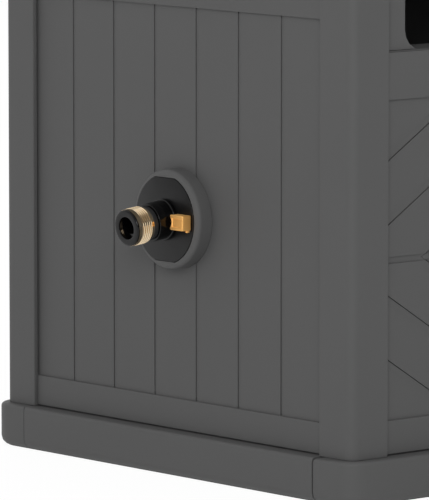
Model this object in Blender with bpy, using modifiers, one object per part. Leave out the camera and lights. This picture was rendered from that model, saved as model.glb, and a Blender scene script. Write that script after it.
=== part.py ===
"""Garden hose reel in a panelled resin cabinet.

The cabinet has a hinged lid, a drum wound by a side crank, a sliding hose guide behind the front
window and a threaded water inlet on its left side. Metres, +Z up, front towards -Y, and the origin
on the floor under the middle of the cabinet.
"""

import math

import bmesh
import bpy
from mathutils import Matrix, Vector

# Cabinet, measured over the faces of its corner posts
WIDTH = 0.569
DEPTH = 0.381
BODY_TOP = 0.424
GAP = 0.0003  # between pieces that are seated on each other

# Corner posts, whose channels hold the panels by their edges
POST = 0.034
POST_ROUND = 0.008
POST_EDGE = 0.0010
POST_LIP = 0.0033
POST_WALL = 0.003
CHANNEL_DEPTH = 0.012
CHANNEL_PLAY = 0.0008

# Panels, set back from the posts, and their rails
PLANK_SET = 0.0050
PANEL_T = 0.0065
RAIL_SET = 0.0032
BOTTOM_RAIL_TOP = 0.056
SIDE_FOOT_RAIL_TOP = 0.0543
RAIL_LIFT = 0.0010  # the shadow gap between a rail and what it stands over or under
SIDE_RAIL_H = 0.0895
REAR_RAIL_H = 0.0640
PLANK_PITCH = 0.0455
REAR_PLANKS = 9
PANEL_HOLE_R = 0.0160  # round the inlet tube and the crank's shaft

# The groove between two boards: a slit with a shallow rebate beside it
SLIT = 0.0005
SLIT_DEPTH = 0.0015
PLANK_REBATE = 0.0028
BOARD_REBATE = 0.0050
REBATE_DEPTH = 0.0006

# Front panel: diamonds of mitred boards under a rail, counted across the field between the rails
MID_RAIL_BOTTOM = 0.279
MID_RAIL_TOP = 0.3125
BOARDS_ACROSS = 7
BOARDS_UP = 5
MITRE_WIDTH = 0.0048
MITRE_DEPTH = 0.0012

# Hose window over the middle rail
WINDOW_SET = 0.0062
WINDOW_MARGIN = 0.0200
WINDOW_HEAD = 0.0260
WINDOW_ROUND = 0.014
WINDOW_REVEAL = 0.0160  # from the post faces to the back of the window frame
SILL_REACH = 0.0360
SILL_T = 0.0032

# Plinth of four skirts
PLINTH_OUT = 0.008
PLINTH_H = 0.0315
PLINTH_ROUND = 0.020
PLINTH_WALL = 0.005
PLINTH_LEDGE_T = 0.004
PLINTH_LEDGE = 0.016
PLINTH_TOP_ROUND = 0.0030
PLINTH_FOOT_ROUND = 0.0070
SKIRT_RETURN = 0.0315
SKIRT_CORNER = 0.0030
FRONT_SEAM = 0.0014
REAR_SEAM = 0.0005

# Floor tray inside the plinth
TRAY_T = 0.004
TRAY_WALL = 0.003
DRAIN_R = 0.004
DRAIN_X, DRAIN_Y = 0.195, 0.120

# Lid
LID_H = 0.046
LID_OUT = 0.003
LID_T = 0.0032
LID_EDGE = 0.010
LID_RIM = 0.014
LID_RIM_T = 0.005
LID_GROOVES = 5
LID_GROOVE_PITCH = 0.0600
LID_GROOVE_END = 0.0300
NOTCH_W, NOTCH_H, NOTCH_IN = 0.110, 0.0035, 0.010

# Lid hinges
HINGE_INSET = 0.0945
HINGE_R = 0.0050
HINGE_PIN_R = 0.0022
HINGE_KNUCKLE = 0.012
HINGE_LEAF_T = 0.003
HINGE_LEAF_H = 0.024

# The drum's axis
AXLE_Y = -0.0021
AXLE_Z = 0.1838

# Bearings on the inner faces of the side panels
BEARING_BASE_R = 0.052
BEARING_BASE_T = 0.004
BEARING_R = 0.0275
BEARING_L = 0.0380
BEARING_WEBS = 6
WEB_T = 0.0030
JOURNAL_R = 0.0210

# Drum
FLANGE_R = 0.155
FLANGE_T = 0.0035
FLANGE_IN = 0.075  # from the post faces to the winding side of a flange
FLANGE_WEBS = 8
FLANGE_WEB_H = 0.0090
FLANGE_ROOT_R = 0.0270
FLANGE_RIM = 0.0050
FLANGE_RIM_H = 0.0080
CORE_R = 0.058
CORE_T = 0.0035
SPIGOT_T = 0.004
SPIGOT_L = 0.010
HUB_L = 0.018

# Water way
BORE_R = 0.0080
TUBE_R = 0.0128
TUBE_END = 0.070
HUB_BORE_R = 0.0135
O_RING_R = 0.0010
O_RING_PLACES = (0.056, 0.063)
ELBOW_PLACE = 0.112
ELBOW_R = 0.0125
ELBOW_COLLAR_R = 0.0165
CONNECTOR_R = 0.0134
CONNECTOR_OUT = 0.024

# Inlet on the left side, measured outwards from the post faces
BEZEL_R = 0.0358
BEZEL_BORE_R = 0.0317
BEZEL_LEDGE_R = 0.0270
BEZEL_OUT = 0.0064
BEZEL_CREST = 0.0085
BEZEL_ROUND = 0.0020
PLATE_R = 0.0314
PLATE_FLAT = 0.0296
PLATE_OUT = 0.0089
PLATE_T = 0.0040
RIM_R = 0.0148
RIM_OUT = 0.0123

# The dropped leg of the inlet, measured along it from the rim
INLET_DROP = math.radians(6.5)
LEG_R = 0.0138
LEG_SUNK = 0.0005  # so that the tilted end of the leg lies inside the rim
SPOUT_R = 0.0100
SPOUT_END = 0.0282
COLLAR_R = 0.0124
COLLAR_START = 0.0121
THREAD_R = 0.0134
THREAD_START = 0.0164
THREAD_END = 0.0307
THREAD_EDGE = 0.0010
NOSE_R = 0.0124
NOSE_END = 0.0322
NOSE_EDGE = 0.0005

# Clip that keeps the inlet tube, measured from the drum's axis towards the front
CLIP_OUT = 0.0084
CLIP_NEAR = 0.0152
CLIP_HOLLOW = 0.0024
CLIP_HOLLOW_R = 0.0051
CLIP_HUG_R = 0.0175
CLIP_FAR = 0.0303
CLIP_HALF_H = 0.0058
STEM_NEAR, STEM_FAR, STEM_HALF_H = 0.0188, 0.0260, 0.0031
FORK_T = 0.0030
FORK_R = 0.0109
FORK_HALF_W = 0.0150
FORK_END = 0.0120
NECK_R = 0.0106

# Crank on the right side
SHAFT_W = 0.0140
SHAFT_SEAT = 0.0040
HUB_OUT = 0.0290
ARM_REACH = 0.118
ARM_T = 0.0100
ARM_OUT = 0.0120
ARM_HUB_R = 0.0190
ARM_END_R = 0.0140
ARM_WALL = 0.0035
ARM_POCKET = 0.0060
BOLT_R = 0.0037
BOLT_L = 0.0160
BOLT_HEAD_R = 0.0104
PIN_R = 0.0040
PIN_HEAD_R = 0.0080
PIN_HEAD_T = 0.0030
HANDLE_L = 0.078
HANDLE_R = 0.0150
HANDLE_WAIST_R = 0.0128
HANDLE_EDGE = 0.0020

# Hose guide behind the window, its eye level with the middle of the window
ROD_R = 0.0050
ROD_IN = 0.0510  # from the post faces back to the rods
ROD_SPREAD = 0.0510
GUIDE_HALF_W = 0.0320
GUIDE_HALF_H = 0.0600
GUIDE_FRONT, GUIDE_BACK = 0.0370, 0.0650
GUIDE_ROUND = 0.0080
EYE_HALF = 0.0250
ROLLER_R = 0.0060
UPRIGHT_ROLLER_IN, LEVEL_ROLLER_IN = 0.0440, 0.0580
ROLLER_PIN_R = 0.0020
PIN_SEAT = 0.0040
BRACKET_T = 0.0040
BRACKET_R = 0.0090
BOSS_R = 0.0080
BRACKET_REACH = 0.0125

LEFT, RIGHT = -1, 1
OVER = 0.002  # how far a cutter passes the face that it cuts

RESIN = ("resin_grey", (0.058, 0.059, 0.061), 0.55, 0.0)
BLACK = ("resin_black", (0.012, 0.012, 0.013), 0.45, 0.0)
DRUM_BLACK = ("drum_black", (0.020, 0.020, 0.021), 0.50, 0.0)
BRASS = ("brass", (0.72, 0.52, 0.24), 0.25, 1.0)
YELLOW_BRASS = ("yellow_brass", (0.80, 0.50, 0.14), 0.35, 1.0)
STEEL = ("steel", (0.45, 0.45, 0.46), 0.35, 1.0)
RUBBER = ("rubber", (0.015, 0.015, 0.015), 0.80, 0.0)

# Turns for things that are drawn along local Z
ALONG_X = (0, math.pi / 2, 0)
UPWARDS = (0, 0, 0)
DOWNWARDS = (math.pi, 0, 0)

# Local X and Y of a flat outline, turned into the plane that it is drawn for
PLANES = {
    "XY": Matrix(((1, 0, 0, 0), (0, 1, 0, 0), (0, 0, 1, 0), (0, 0, 0, 1))),
    "YZ": Matrix(((0, 0, 1, 0), (1, 0, 0, 0), (0, 1, 0, 0), (0, 0, 0, 1))),
    "XZ": Matrix(((1, 0, 0, 0), (0, 0, -1, 0), (0, 1, 0, 0), (0, 0, 0, 1))),
}


def reset():
    for item in list(bpy.data.objects):
        bpy.data.objects.remove(item, do_unlink=True)


reset()
PARTS = bpy.data.collections.new("hose_reel")
bpy.context.scene.collection.children.link(PARTS)


def finish_of(values):
    """The Principled material with the given name, colour, roughness and metallic value."""
    name, colour, roughness, metallic = values
    known = bpy.data.materials.get(name)
    if known:
        return known
    made = bpy.data.materials.new(name)
    made.use_nodes = True
    shader = made.node_tree.nodes["Principled BSDF"]
    shader.inputs["Base Color"].default_value = (*colour, 1.0)
    shader.inputs["Roughness"].default_value = roughness
    shader.inputs["Metallic"].default_value = metallic
    made.diffuse_color = (*colour, 1.0)
    return made


def keep(item, name, finish, pivot=None):
    """Names a finished piece, gives it its material and files it with the parts.

    A piece that moves has its origin put on the pivot, a point of its joint's axis.
    """
    if pivot:
        item.data.transform(Matrix.Translation(-Vector(pivot)) @ item.matrix_world)
        item.matrix_world = Matrix.Translation(pivot)
    item.name = name
    item.data.name = name
    item.data.materials.clear()
    item.data.materials.append(finish_of(finish))
    item.data.shade_smooth()
    item.data.set_sharp_from_angle(angle=math.radians(35))
    for holder in list(item.users_collection):
        holder.objects.unlink(item)
    PARTS.objects.link(item)


def weld(mesh):
    """Closes the seams of a mesh and turns its faces outwards."""
    work = bmesh.new()
    work.from_mesh(mesh)
    bmesh.ops.remove_doubles(work, verts=work.verts, dist=1e-6)
    bmesh.ops.recalc_face_normals(work, faces=work.faces)
    work.to_mesh(mesh)
    work.free()


def as_mesh(item):
    """A curve, or an object with modifiers, as a plain mesh in the same place."""
    bpy.context.view_layer.update()
    graph = bpy.context.evaluated_depsgraph_get()
    mesh = bpy.data.meshes.new_from_object(item.evaluated_get(graph))
    weld(mesh)
    made = bpy.data.objects.new("solid", mesh)
    made.matrix_world = item.matrix_world.copy()
    bpy.context.scene.collection.objects.link(made)
    bpy.data.objects.remove(item, do_unlink=True)
    return made


def block(low, high):
    """A box between two corners."""
    low, high = Vector(low), Vector(high)
    bpy.ops.mesh.primitive_cube_add(size=1.0, location=(low + high) / 2)
    item = bpy.context.object
    item.scale = high - low
    bpy.ops.object.transform_apply(location=False, rotation=False, scale=True)
    return item


def round_edges(item, chosen, width, segments=3):
    """Rounds the edges whose two ends, as world points, pass the test."""
    bpy.context.view_layer.update()
    place = item.matrix_world
    work = bmesh.new()
    work.from_mesh(item.data)
    edges = [edge for edge in work.edges if chosen(*(place @ vert.co for vert in edge.verts))]
    bmesh.ops.bevel(work, geom=edges, offset=width, segments=segments, profile=0.5, affect="EDGES")
    work.to_mesh(item.data)
    work.free()
    return item


def upright(one, other):
    return abs(one.x - other.x) < 1e-6 and abs(one.y - other.y) < 1e-6


def at_height(height):
    return lambda one, other: abs(one.z - height) < 1e-6 and abs(other.z - height) < 1e-6


def rounded_block(low, high, radius, segments=4):
    """A box with rounded upright edges."""
    return round_edges(block(low, high), upright, radius, segments)


def plate(loops, plane, start, end):
    """A flat outline, with any holes as further loops, from one level of its plane to another."""
    curve = bpy.data.curves.new("outline", "CURVE")
    curve.dimensions = "2D"
    curve.fill_mode = "BOTH"
    curve.extrude = abs(end - start) / 2
    for loop in loops:
        spline = curve.splines.new("POLY")
        spline.points.add(len(loop) - 1)
        for point, (a, b) in zip(spline.points, loop):
            point.co = (a, b, 0, 1)
        spline.use_cyclic_u = True
    item = bpy.data.objects.new("outline", curve)
    bpy.context.scene.collection.objects.link(item)
    level = (start + end) / 2
    place = {"XY": (0, 0, level), "YZ": (level, 0, 0), "XZ": (0, level, 0)}[plane]
    item.matrix_world = Matrix.Translation(place) @ PLANES[plane]
    return as_mesh(item)


def arc(centre, radius, start, end, steps):
    """Points along an arc, with its angles in degrees."""
    turns = [math.radians(start + (end - start) * step / steps) for step in range(steps + 1)]
    return [(centre[0] + radius * math.cos(t), centre[1] + radius * math.sin(t)) for t in turns]


def circle(centre, radius, steps):
    return arc(centre, radius, 0, 360, steps)[:-1]


def rectangle(low, high):
    (a0, b0), (a1, b1) = low, high
    return [(a0, b0), (a1, b0), (a1, b1), (a0, b1)]


def rounded_rectangle(low, high, radius, steps=4):
    (a0, b0), (a1, b1) = low, high
    r = radius
    return (arc((a1 - r, b0 + r), r, -90, 0, steps) + arc((a1 - r, b1 - r), r, 0, 90, steps)
            + arc((a0 + r, b1 - r), r, 90, 180, steps) + arc((a0 + r, b0 + r), r, 180, 270, steps))


def turned(profile, origin=(0, 0, 0), turn=ALONG_X, steps=32):
    """A profile of (along, radius) points spun about the object's local Z.

    A profile that starts and ends on the axis makes a solid bar, any other one a ring.
    """
    mesh = bpy.data.meshes.new("profile")
    count = len(profile)
    edges = [(i, i + 1) for i in range(count - 1)]
    if profile[0][1] > 0:
        edges.append((count - 1, 0))
    mesh.from_pydata([(radius, 0, along) for along, radius in profile], edges, [])
    item = bpy.data.objects.new("turned", mesh)
    bpy.context.scene.collection.objects.link(item)
    item.location = origin
    item.rotation_euler = turn
    screw = item.modifiers.new("spin", "SCREW")
    screw.axis = "Z"
    screw.steps = steps
    screw.render_steps = steps
    screw.use_merge_vertices = True
    screw.merge_threshold = 1e-5
    return as_mesh(item)


def rod(radius, start, end, origin=(0, 0, 0), turn=ALONG_X, steps=20):
    """A plain round bar between two places along its axis."""
    return turned([(end, 0), (end, radius), (start, radius), (start, 0)], origin, turn, steps)


def tube(outer, inner, start, end, origin=(0, 0, 0), turn=ALONG_X, steps=24):
    return turned([(end, inner), (end, outer), (start, outer), (start, inner)], origin, turn, steps)


def combine(item, tool, operation):
    modifier = item.modifiers.new("combine", "BOOLEAN")
    modifier.solver = "EXACT"
    modifier.operation = operation
    modifier.object = tool
    made = as_mesh(item)
    bpy.data.objects.remove(tool, do_unlink=True)
    return made


def cut(item, *tools):
    for tool in tools:
        item = combine(item, tool, "DIFFERENCE")
    return item


def join(item, *tools):
    for tool in tools:
        item = combine(item, tool, "UNION")
    return item


def common(item, tool):
    return combine(item, tool, "INTERSECT")


def soften(item, width, segments=1):
    """Breaks the sharp edges of a piece."""
    bevel = item.modifiers.new("soften", "BEVEL")
    bevel.width = width
    bevel.segments = segments
    bevel.limit_method = "ANGLE"
    bevel.angle_limit = math.radians(40)
    return as_mesh(item)


def across(side, inset):
    """The X of a plane that lies an inset behind the post faces of one side."""
    return side * (WIDTH / 2 - inset)


def out_from(side, distance):
    """The X of a plane that stands out past the post faces of one side."""
    return across(side, -distance)


def behind(inset):
    """The Y of a plane that lies an inset behind the front faces of the posts."""
    return -DEPTH / 2 + inset


def side_block(side, insets, ys, zs):
    """A box given by its insets from one side's post faces."""
    low, high = sorted(across(side, inset) for inset in insets)
    return block((low, min(ys), min(zs)), (high, max(ys), max(zs)))


def side_rod(side, radius, insets, y, z, steps=20):
    """A round bar across one side, given by its insets from that side's post faces."""
    low, high = sorted(across(side, inset) for inset in insets)
    return rod(radius, low, high, (0, y, z), steps=steps)


def side_turned(side, profile, steps=32):
    """A profile of (inset, radius) points from one side, spun about the drum's axis."""
    return turned([(across(side, inset), radius) for inset, radius in profile], AXLE, steps=steps)


def add_webs(item, side, outline, count):
    """Joins evenly spaced webs round the drum's axis, drawn as (inset, radius) outlines."""
    points = [(across(side, inset), radius) for inset, radius in outline]
    for k in range(count):
        web = plate([points], "XZ", -WEB_T / 2, WEB_T / 2)
        turn = Matrix.Rotation(2 * math.pi * (k + 0.5) / count, 4, "X")
        web.matrix_world = Matrix.Translation(AXLE) @ turn @ web.matrix_world
        item = join(item, web)
    return item


AXLE = (0, AXLE_Y, AXLE_Z)
PANEL_IN = PLANK_SET + PANEL_T  # inner face of a panel
CHANNEL_IN = PANEL_IN + CHANNEL_PLAY
POST_IN = CHANNEL_IN + POST_WALL
PANEL_FOOT = PLINTH_H + GAP
RAIL_FOOT = PANEL_FOOT + RAIL_LIFT
TONGUE = POST - CHANNEL_DEPTH + GAP  # where the hidden edge of a panel ends
BESIDE_POST = POST + GAP
BEARING_FOOT = PANEL_IN + GAP
JOURNAL_END = BEARING_FOOT + BEARING_BASE_T
WINDOW_TOP = BODY_TOP - WINDOW_HEAD
LID_FOOT = BODY_TOP + GAP
EYE_Z = (MID_RAIL_TOP + WINDOW_TOP) / 2
ROD_Y = behind(ROD_IN)
LEG_PLAY = SPOUT_R + GAP  # bore of the pieces on the dropped leg


def plinth():
    """The whole ring that the four skirts are cut from: an outer wall with a ledge on top."""
    x, y = WIDTH / 2 + PLINTH_OUT, DEPTH / 2 + PLINTH_OUT
    ring = rounded_block((-x, -y, 0), (x, y, PLINTH_H), PLINTH_ROUND, 6)
    round_edges(ring, at_height(PLINTH_H), PLINTH_TOP_ROUND)
    round_edges(ring, at_height(0), PLINTH_FOOT_ROUND)
    a, b = x - PLINTH_WALL, y - PLINTH_WALL
    hollow = rounded_block((-a, -b, -OVER), (a, b, PLINTH_H - PLINTH_LEDGE_T),
                           PLINTH_ROUND - PLINTH_WALL)
    a, b = WIDTH / 2 - PLINTH_LEDGE, DEPTH / 2 - PLINTH_LEDGE
    middle = block((-a, -b, -OVER), (a, b, PLINTH_H + OVER))
    return cut(ring, hollow, middle)


def make_skirts():
    """Front and rear skirts that wrap round the corners, and a side skirt between their ends."""
    joint, far = DEPTH / 2 - SKIRT_RETURN, DEPTH
    for word, sign, seam in (("front", -1, FRONT_SEAM), ("rear", 1, REAR_SEAM)):
        end = joint + seam / 2
        corner = arc((end + SKIRT_CORNER, PLINTH_H - SKIRT_CORNER), SKIRT_CORNER, 180, 90, 3)
        zone = [(far, -OVER), (end, -OVER)] + corner
        zone += [(end + SKIRT_CORNER, PLINTH_H + OVER), (far, PLINTH_H + OVER)]
        loop = [(sign * y, z) for y, z in zone]
        keep(common(plinth(), plate([loop], "YZ", -WIDTH, WIDTH)), word + "_skirt", RESIN)
    ys = (FRONT_SEAM / 2 - joint, joint - REAR_SEAM / 2)
    for side, word in ((LEFT, "left"), (RIGHT, "right")):
        middle = side_block(side, (-WIDTH, WIDTH / 2), ys, (-OVER, PLINTH_H + OVER))
        keep(common(plinth(), middle), word + "_skirt", RESIN)


def make_tray():
    """The floor tray, whose wall stands inside the skirts and under their ledge."""
    x = WIDTH / 2 + PLINTH_OUT - PLINTH_WALL - GAP
    y = DEPTH / 2 + PLINTH_OUT - PLINTH_WALL - GAP
    corner = PLINTH_ROUND - PLINTH_WALL - GAP
    top = PLINTH_H - PLINTH_LEDGE_T - GAP
    tray = rounded_block((-x, -y, 0), (x, y, top), corner)
    a, b = x - TRAY_WALL, y - TRAY_WALL
    tray = cut(tray, rounded_block((-a, -b, TRAY_T), (a, b, top + OVER), corner - TRAY_WALL))
    for drain_x in (-DRAIN_X, DRAIN_X):
        for drain_y in (-DRAIN_Y, DRAIN_Y):
            tray = cut(tray, rod(DRAIN_R, -OVER, TRAY_T + OVER, (drain_x, drain_y, 0), UPWARDS, 12))
    keep(tray, "floor_tray", RESIN)


def post_section():
    """One quarter's post in section, with its outer corner at the origin and a channel each way."""
    end = POST - CHANNEL_DEPTH
    half = arc((POST - POST_EDGE, POST_EDGE), POST_EDGE, -90, 0, 2)
    half += [(POST, POST_LIP), (end, POST_LIP), (end, CHANNEL_IN), (POST, CHANNEL_IN),
             (POST, POST_IN)]
    mirrored = [(b, a) for a, b in reversed(half)]
    corner = arc((POST_ROUND, POST_ROUND), POST_ROUND, 180, 270, 5)
    return half + [(POST_IN, POST_IN)] + mirrored + corner


def make_posts():
    for word, sy in (("front", -1), ("rear", 1)):
        for side, hand in ((LEFT, "left"), (RIGHT, "right")):
            loop = [(across(side, a), sy * (DEPTH / 2 - b)) for a, b in post_section()]
            post = plate([loop], "XY", PANEL_FOOT, BODY_TOP)
            keep(post, word + "_" + hand + "_post", RESIN)


def board_face(grooves):
    """Points (depth, along) over the grooves of a boarded face."""
    face = []
    for place in grooves:
        low, high = place - SLIT / 2, place + SLIT / 2
        rebate = low - PLANK_REBATE
        face += [(0, rebate), (REBATE_DEPTH, rebate), (REBATE_DEPTH, low), (SLIT_DEPTH, low),
                 (SLIT_DEPTH, high), (0, high)]
    return face


def make_side_panels():
    """Upright boards from the front post backwards, with a rail below and above them."""
    low, high = behind(TONGUE), behind(DEPTH - TONGUE)
    count = int((DEPTH - 2 * POST) / PLANK_PITCH)
    grooves = [behind(POST + PLANK_PITCH * (k + 1)) for k in range(count)]
    face = [(0, low)] + board_face(grooves) + [(0, high)]
    ys = (behind(BESIDE_POST), behind(DEPTH - BESIDE_POST))
    rails = ((RAIL_FOOT, SIDE_FOOT_RAIL_TOP), (BODY_TOP - SIDE_RAIL_H, BODY_TOP))
    for side, word in ((LEFT, "left"), (RIGHT, "right")):
        loop = [(across(side, PLANK_SET + depth), along) for depth, along in face]
        loop += [(across(side, PANEL_IN), high), (across(side, PANEL_IN), low)]
        panel = plate([loop], "XY", PANEL_FOOT, BODY_TOP - GAP)
        for zs in rails:
            panel = join(panel, side_block(side, (RAIL_SET, PANEL_IN - OVER), ys, zs))
        hole = side_rod(side, PANEL_HOLE_R, (-OVER, PANEL_IN + OVER), AXLE_Y, AXLE_Z, 24)
        keep(cut(panel, hole), word + "_panel", RESIN)


def slit_cutter(start, end, outward):
    """A groove cutter across the front panel from one (x, z) point to another.

    The slit runs along the line and the rebate lies above it for an outward of 1 and below it
    for -1.
    """
    if (end[0] - start[0]) * outward > 0:
        start, end = end, start
    (x0, z0), (x1, z1) = start, end
    section = [(-SLIT, -OVER), (-SLIT, SLIT_DEPTH), (0, SLIT_DEPTH), (0, REBATE_DEPTH),
               (BOARD_REBATE, REBATE_DEPTH), (BOARD_REBATE, -OVER)]
    cutter = plate([section], "XY", 0, math.hypot(x1 - x0, z1 - z0))
    run = Vector((x1 - x0, 0, z1 - z0)).normalized()
    depth = Vector((0, 1, 0))
    frame = Matrix((depth.cross(run), depth, run)).transposed().to_4x4()
    place = Matrix.Translation((x0, behind(PLANK_SET), z0))
    cutter.matrix_world = place @ frame @ cutter.matrix_world
    return cutter


def diamond_joints(half_w, half_h):
    """One quarter's joints between mitred boards, as pairs of (x, z) points from the middle."""
    pitch_x, pitch_z = 2 * half_w / BOARDS_ACROSS, 2 * half_h / BOARDS_UP
    slope = pitch_z / pitch_x
    joints = []
    for ring in range(1, (BOARDS_ACROSS + BOARDS_UP) // 2):
        tip = ring * pitch_x
        outer = min(tip, half_w)
        inner = max(0, tip - half_h / slope)
        joints.append(((outer, (tip - outer) * slope), (inner, (tip - inner) * slope)))
    return joints


def make_front_panel():
    """Boards laid in diamonds round the middle of the panel, between a bottom and a middle rail."""
    x = WIDTH / 2 - TONGUE
    panel = block((-x, behind(PLANK_SET), PANEL_FOOT), (x, behind(PANEL_IN), MID_RAIL_TOP))
    middle = (BOTTOM_RAIL_TOP + MID_RAIL_BOTTOM) / 2
    half_h = (MID_RAIL_BOTTOM - BOTTOM_RAIL_TOP) / 2
    half_w = WIDTH / 2 - POST
    for (x0, z0), (x1, z1) in diamond_joints(half_w, half_h):
        for sx in (-1, 1):
            for sz in (-1, 1):
                start = (sx * x0, middle + sz * z0)
                end = (sx * x1, middle + sz * z1)
                panel = cut(panel, slit_cutter(start, end, sz))
    front, floor = behind(PLANK_SET - OVER), behind(PLANK_SET + MITRE_DEPTH)
    w = MITRE_WIDTH / 2
    panel = cut(panel, block((-half_w, front, middle - w), (half_w, floor, middle + w)),
                block((-w, front, middle - half_h), (w, floor, middle + half_h)))
    a = WIDTH / 2 - BESIDE_POST
    rails = ((RAIL_FOOT, BOTTOM_RAIL_TOP), (MID_RAIL_BOTTOM, MID_RAIL_TOP - RAIL_LIFT))
    for low, high in rails:
        rail = block((-a, behind(RAIL_SET), low), (a, behind(PANEL_IN - OVER), high))
        panel = join(panel, rail)
    keep(panel, "front_panel", RESIN)


def make_rear_panel():
    edge = WIDTH / 2 - TONGUE
    pitch = (WIDTH - 2 * POST) / REAR_PLANKS
    grooves = [(k - REAR_PLANKS / 2) * pitch for k in range(1, REAR_PLANKS)]
    face = [(0, -edge)] + board_face(grooves) + [(0, edge)]
    loop = [(along, behind(DEPTH - PLANK_SET - depth)) for depth, along in face]
    loop += [(edge, behind(DEPTH - PANEL_IN)), (-edge, behind(DEPTH - PANEL_IN))]
    panel = plate([loop], "XY", PANEL_FOOT, BODY_TOP - GAP)
    a = WIDTH / 2 - BESIDE_POST
    inner, outer = behind(DEPTH - PANEL_IN + OVER), behind(DEPTH - RAIL_SET)
    for low, high in ((RAIL_FOOT, BOTTOM_RAIL_TOP), (BODY_TOP - REAR_RAIL_H, BODY_TOP)):
        panel = join(panel, block((-a, inner, low), (a, outer, high)))
    keep(panel, "rear_panel", RESIN)


def make_window():
    """The frame over the middle rail, with a sill behind that rail's top edge."""
    tongue, inner = WIDTH / 2 - TONGUE, WIDTH / 2 - BESIDE_POST
    opening = WIDTH / 2 - POST - WINDOW_MARGIN
    face = plate([rectangle((-tongue, MID_RAIL_TOP + GAP), (tongue, BODY_TOP))], "XZ",
                 behind(WINDOW_SET), behind(CHANNEL_IN - GAP))
    foot, back = MID_RAIL_TOP - SILL_T, behind(WINDOW_REVEAL)
    backing = block((-inner, behind(PANEL_IN + GAP), foot), (inner, back, BODY_TOP))
    hole = rounded_rectangle((-opening, MID_RAIL_TOP), (opening, WINDOW_TOP), WINDOW_ROUND)
    frame = cut(join(face, backing), plate([hole], "XZ", behind(0), back + OVER))
    sill = block((-inner, back - OVER, foot), (inner, behind(SILL_REACH), MID_RAIL_TOP))
    keep(join(frame, sill), "window_frame", RESIN)


def hinge_centre():
    """The lid hinges' axis (y, z), behind the lid's rear wall and level with the lid's joint."""
    return DEPTH / 2 + LID_OUT + HINGE_R + 2 * GAP, BODY_TOP + GAP / 2


def make_lid():
    """A thin shell with a rim that lies on the posts, grooves on top and a finger notch in front."""
    x, y = WIDTH / 2 + LID_OUT, DEPTH / 2 + LID_OUT
    low, high = LID_FOOT, LID_FOOT + LID_H
    corner = POST_ROUND + LID_OUT
    shell = rounded_block((-x, -y, low), (x, y, high), corner)
    round_edges(shell, at_height(high), LID_EDGE)
    a, b, rim_top = x - LID_RIM, y - LID_RIM, low + LID_RIM_T
    mouth = block((-a, -b, low - OVER), (a, b, rim_top + OVER))
    a, b = x - LID_T, y - LID_T
    hollow = rounded_block((-a, -b, rim_top), (a, b, high - LID_T), corner - LID_T)
    round_edges(hollow, at_height(high - LID_T), LID_EDGE - LID_T)
    shell = cut(shell, mouth, hollow)  # the mouth first, so that the hollow is never sealed
    end, w = x - LID_GROOVE_END, MITRE_WIDTH / 2
    for k in range(LID_GROOVES):
        place = (k - (LID_GROOVES - 1) / 2) * LID_GROOVE_PITCH
        groove = block((-end, place - w, high - LID_T / 2), (end, place + w, high + OVER))
        shell = cut(shell, groove)
    notch = block((-NOTCH_W / 2, -y - OVER, low - OVER), (NOTCH_W / 2, -y + NOTCH_IN, low + NOTCH_H))
    keep(cut(shell, notch), "lid", RESIN, (0, *hinge_centre()))


def make_hinges():
    """Two hinges: a bracket with two eyes on the body, an eye on the lid between them, and a pin."""
    y, z = hinge_centre()
    centre, r, t = (y, z), HINGE_R, HINGE_LEAF_T
    body_face, lid_face = DEPTH / 2 - RAIL_SET + GAP, DEPTH / 2 + LID_OUT + GAP
    foot, head = z - r - HINGE_LEAF_H, z + HINGE_LEAF_H
    eye_foot, eye_head = z - 3 * r, z + 2 * r  # where the eyes leave their leaves
    body_eye = [(body_face, foot), (body_face + t, foot), (body_face + t, eye_foot)]
    body_eye += arc(centre, r, -40, 180, 10) + [(body_face, z - r / 2)]
    lid_eye = [(lid_face, head), (lid_face, z + r / 2)] + arc(centre, r, 180, 420, 11)
    lid_eye += [(lid_face + t, eye_head), (lid_face + t, head)]
    half, reach = HINGE_KNUCKLE / 2, HINGE_KNUCKLE * 1.5
    for side, word in ((LEFT, "left"), (RIGHT, "right")):
        x = across(side, HINGE_INSET)
        hole = (HINGE_PIN_R + GAP, x - reach - OVER, x + reach + OVER, (0, y, z), ALONG_X, 16)
        slot = block((x - half, body_face - OVER, z - r - 2 * GAP),
                     (x + half, y + r + OVER, z + r + OVER))
        bracket = cut(plate([body_eye], "YZ", x - reach, x + reach), slot, rod(*hole))
        keep(bracket, word + "_hinge_bracket", BLACK)
        hinge = cut(plate([lid_eye], "YZ", x - half + GAP, x + half - GAP), rod(*hole))
        keep(hinge, word + "_lid_hinge", BLACK, (x, y, z))
        pin = rod(HINGE_PIN_R, x - reach, x + reach, (0, y, z), steps=16)
        keep(pin, word + "_hinge_pin", STEEL)


def make_bearings():
    """A barrel on a round base, stiffened by webs, on the inner face of each side panel."""
    foot, face = BEARING_FOOT, JOURNAL_END
    end, bore = JOURNAL_END + BEARING_L, JOURNAL_R + GAP
    inside = (bore + BEARING_R) / 2
    web = [(face - OVER, inside), (face - OVER, BEARING_BASE_R - OVER),
           (face, BEARING_BASE_R - OVER), (end - OVER, BEARING_R), (end - OVER, inside)]
    profile = [(foot, bore), (foot, BEARING_BASE_R), (face, BEARING_BASE_R), (face, BEARING_R),
               (end, BEARING_R), (end, bore)]
    for side, word in ((LEFT, "left"), (RIGHT, "right")):
        item = add_webs(side_turned(side, profile, 24), side, web, BEARING_WEBS)
        keep(item, word + "_bearing", BLACK)


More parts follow.
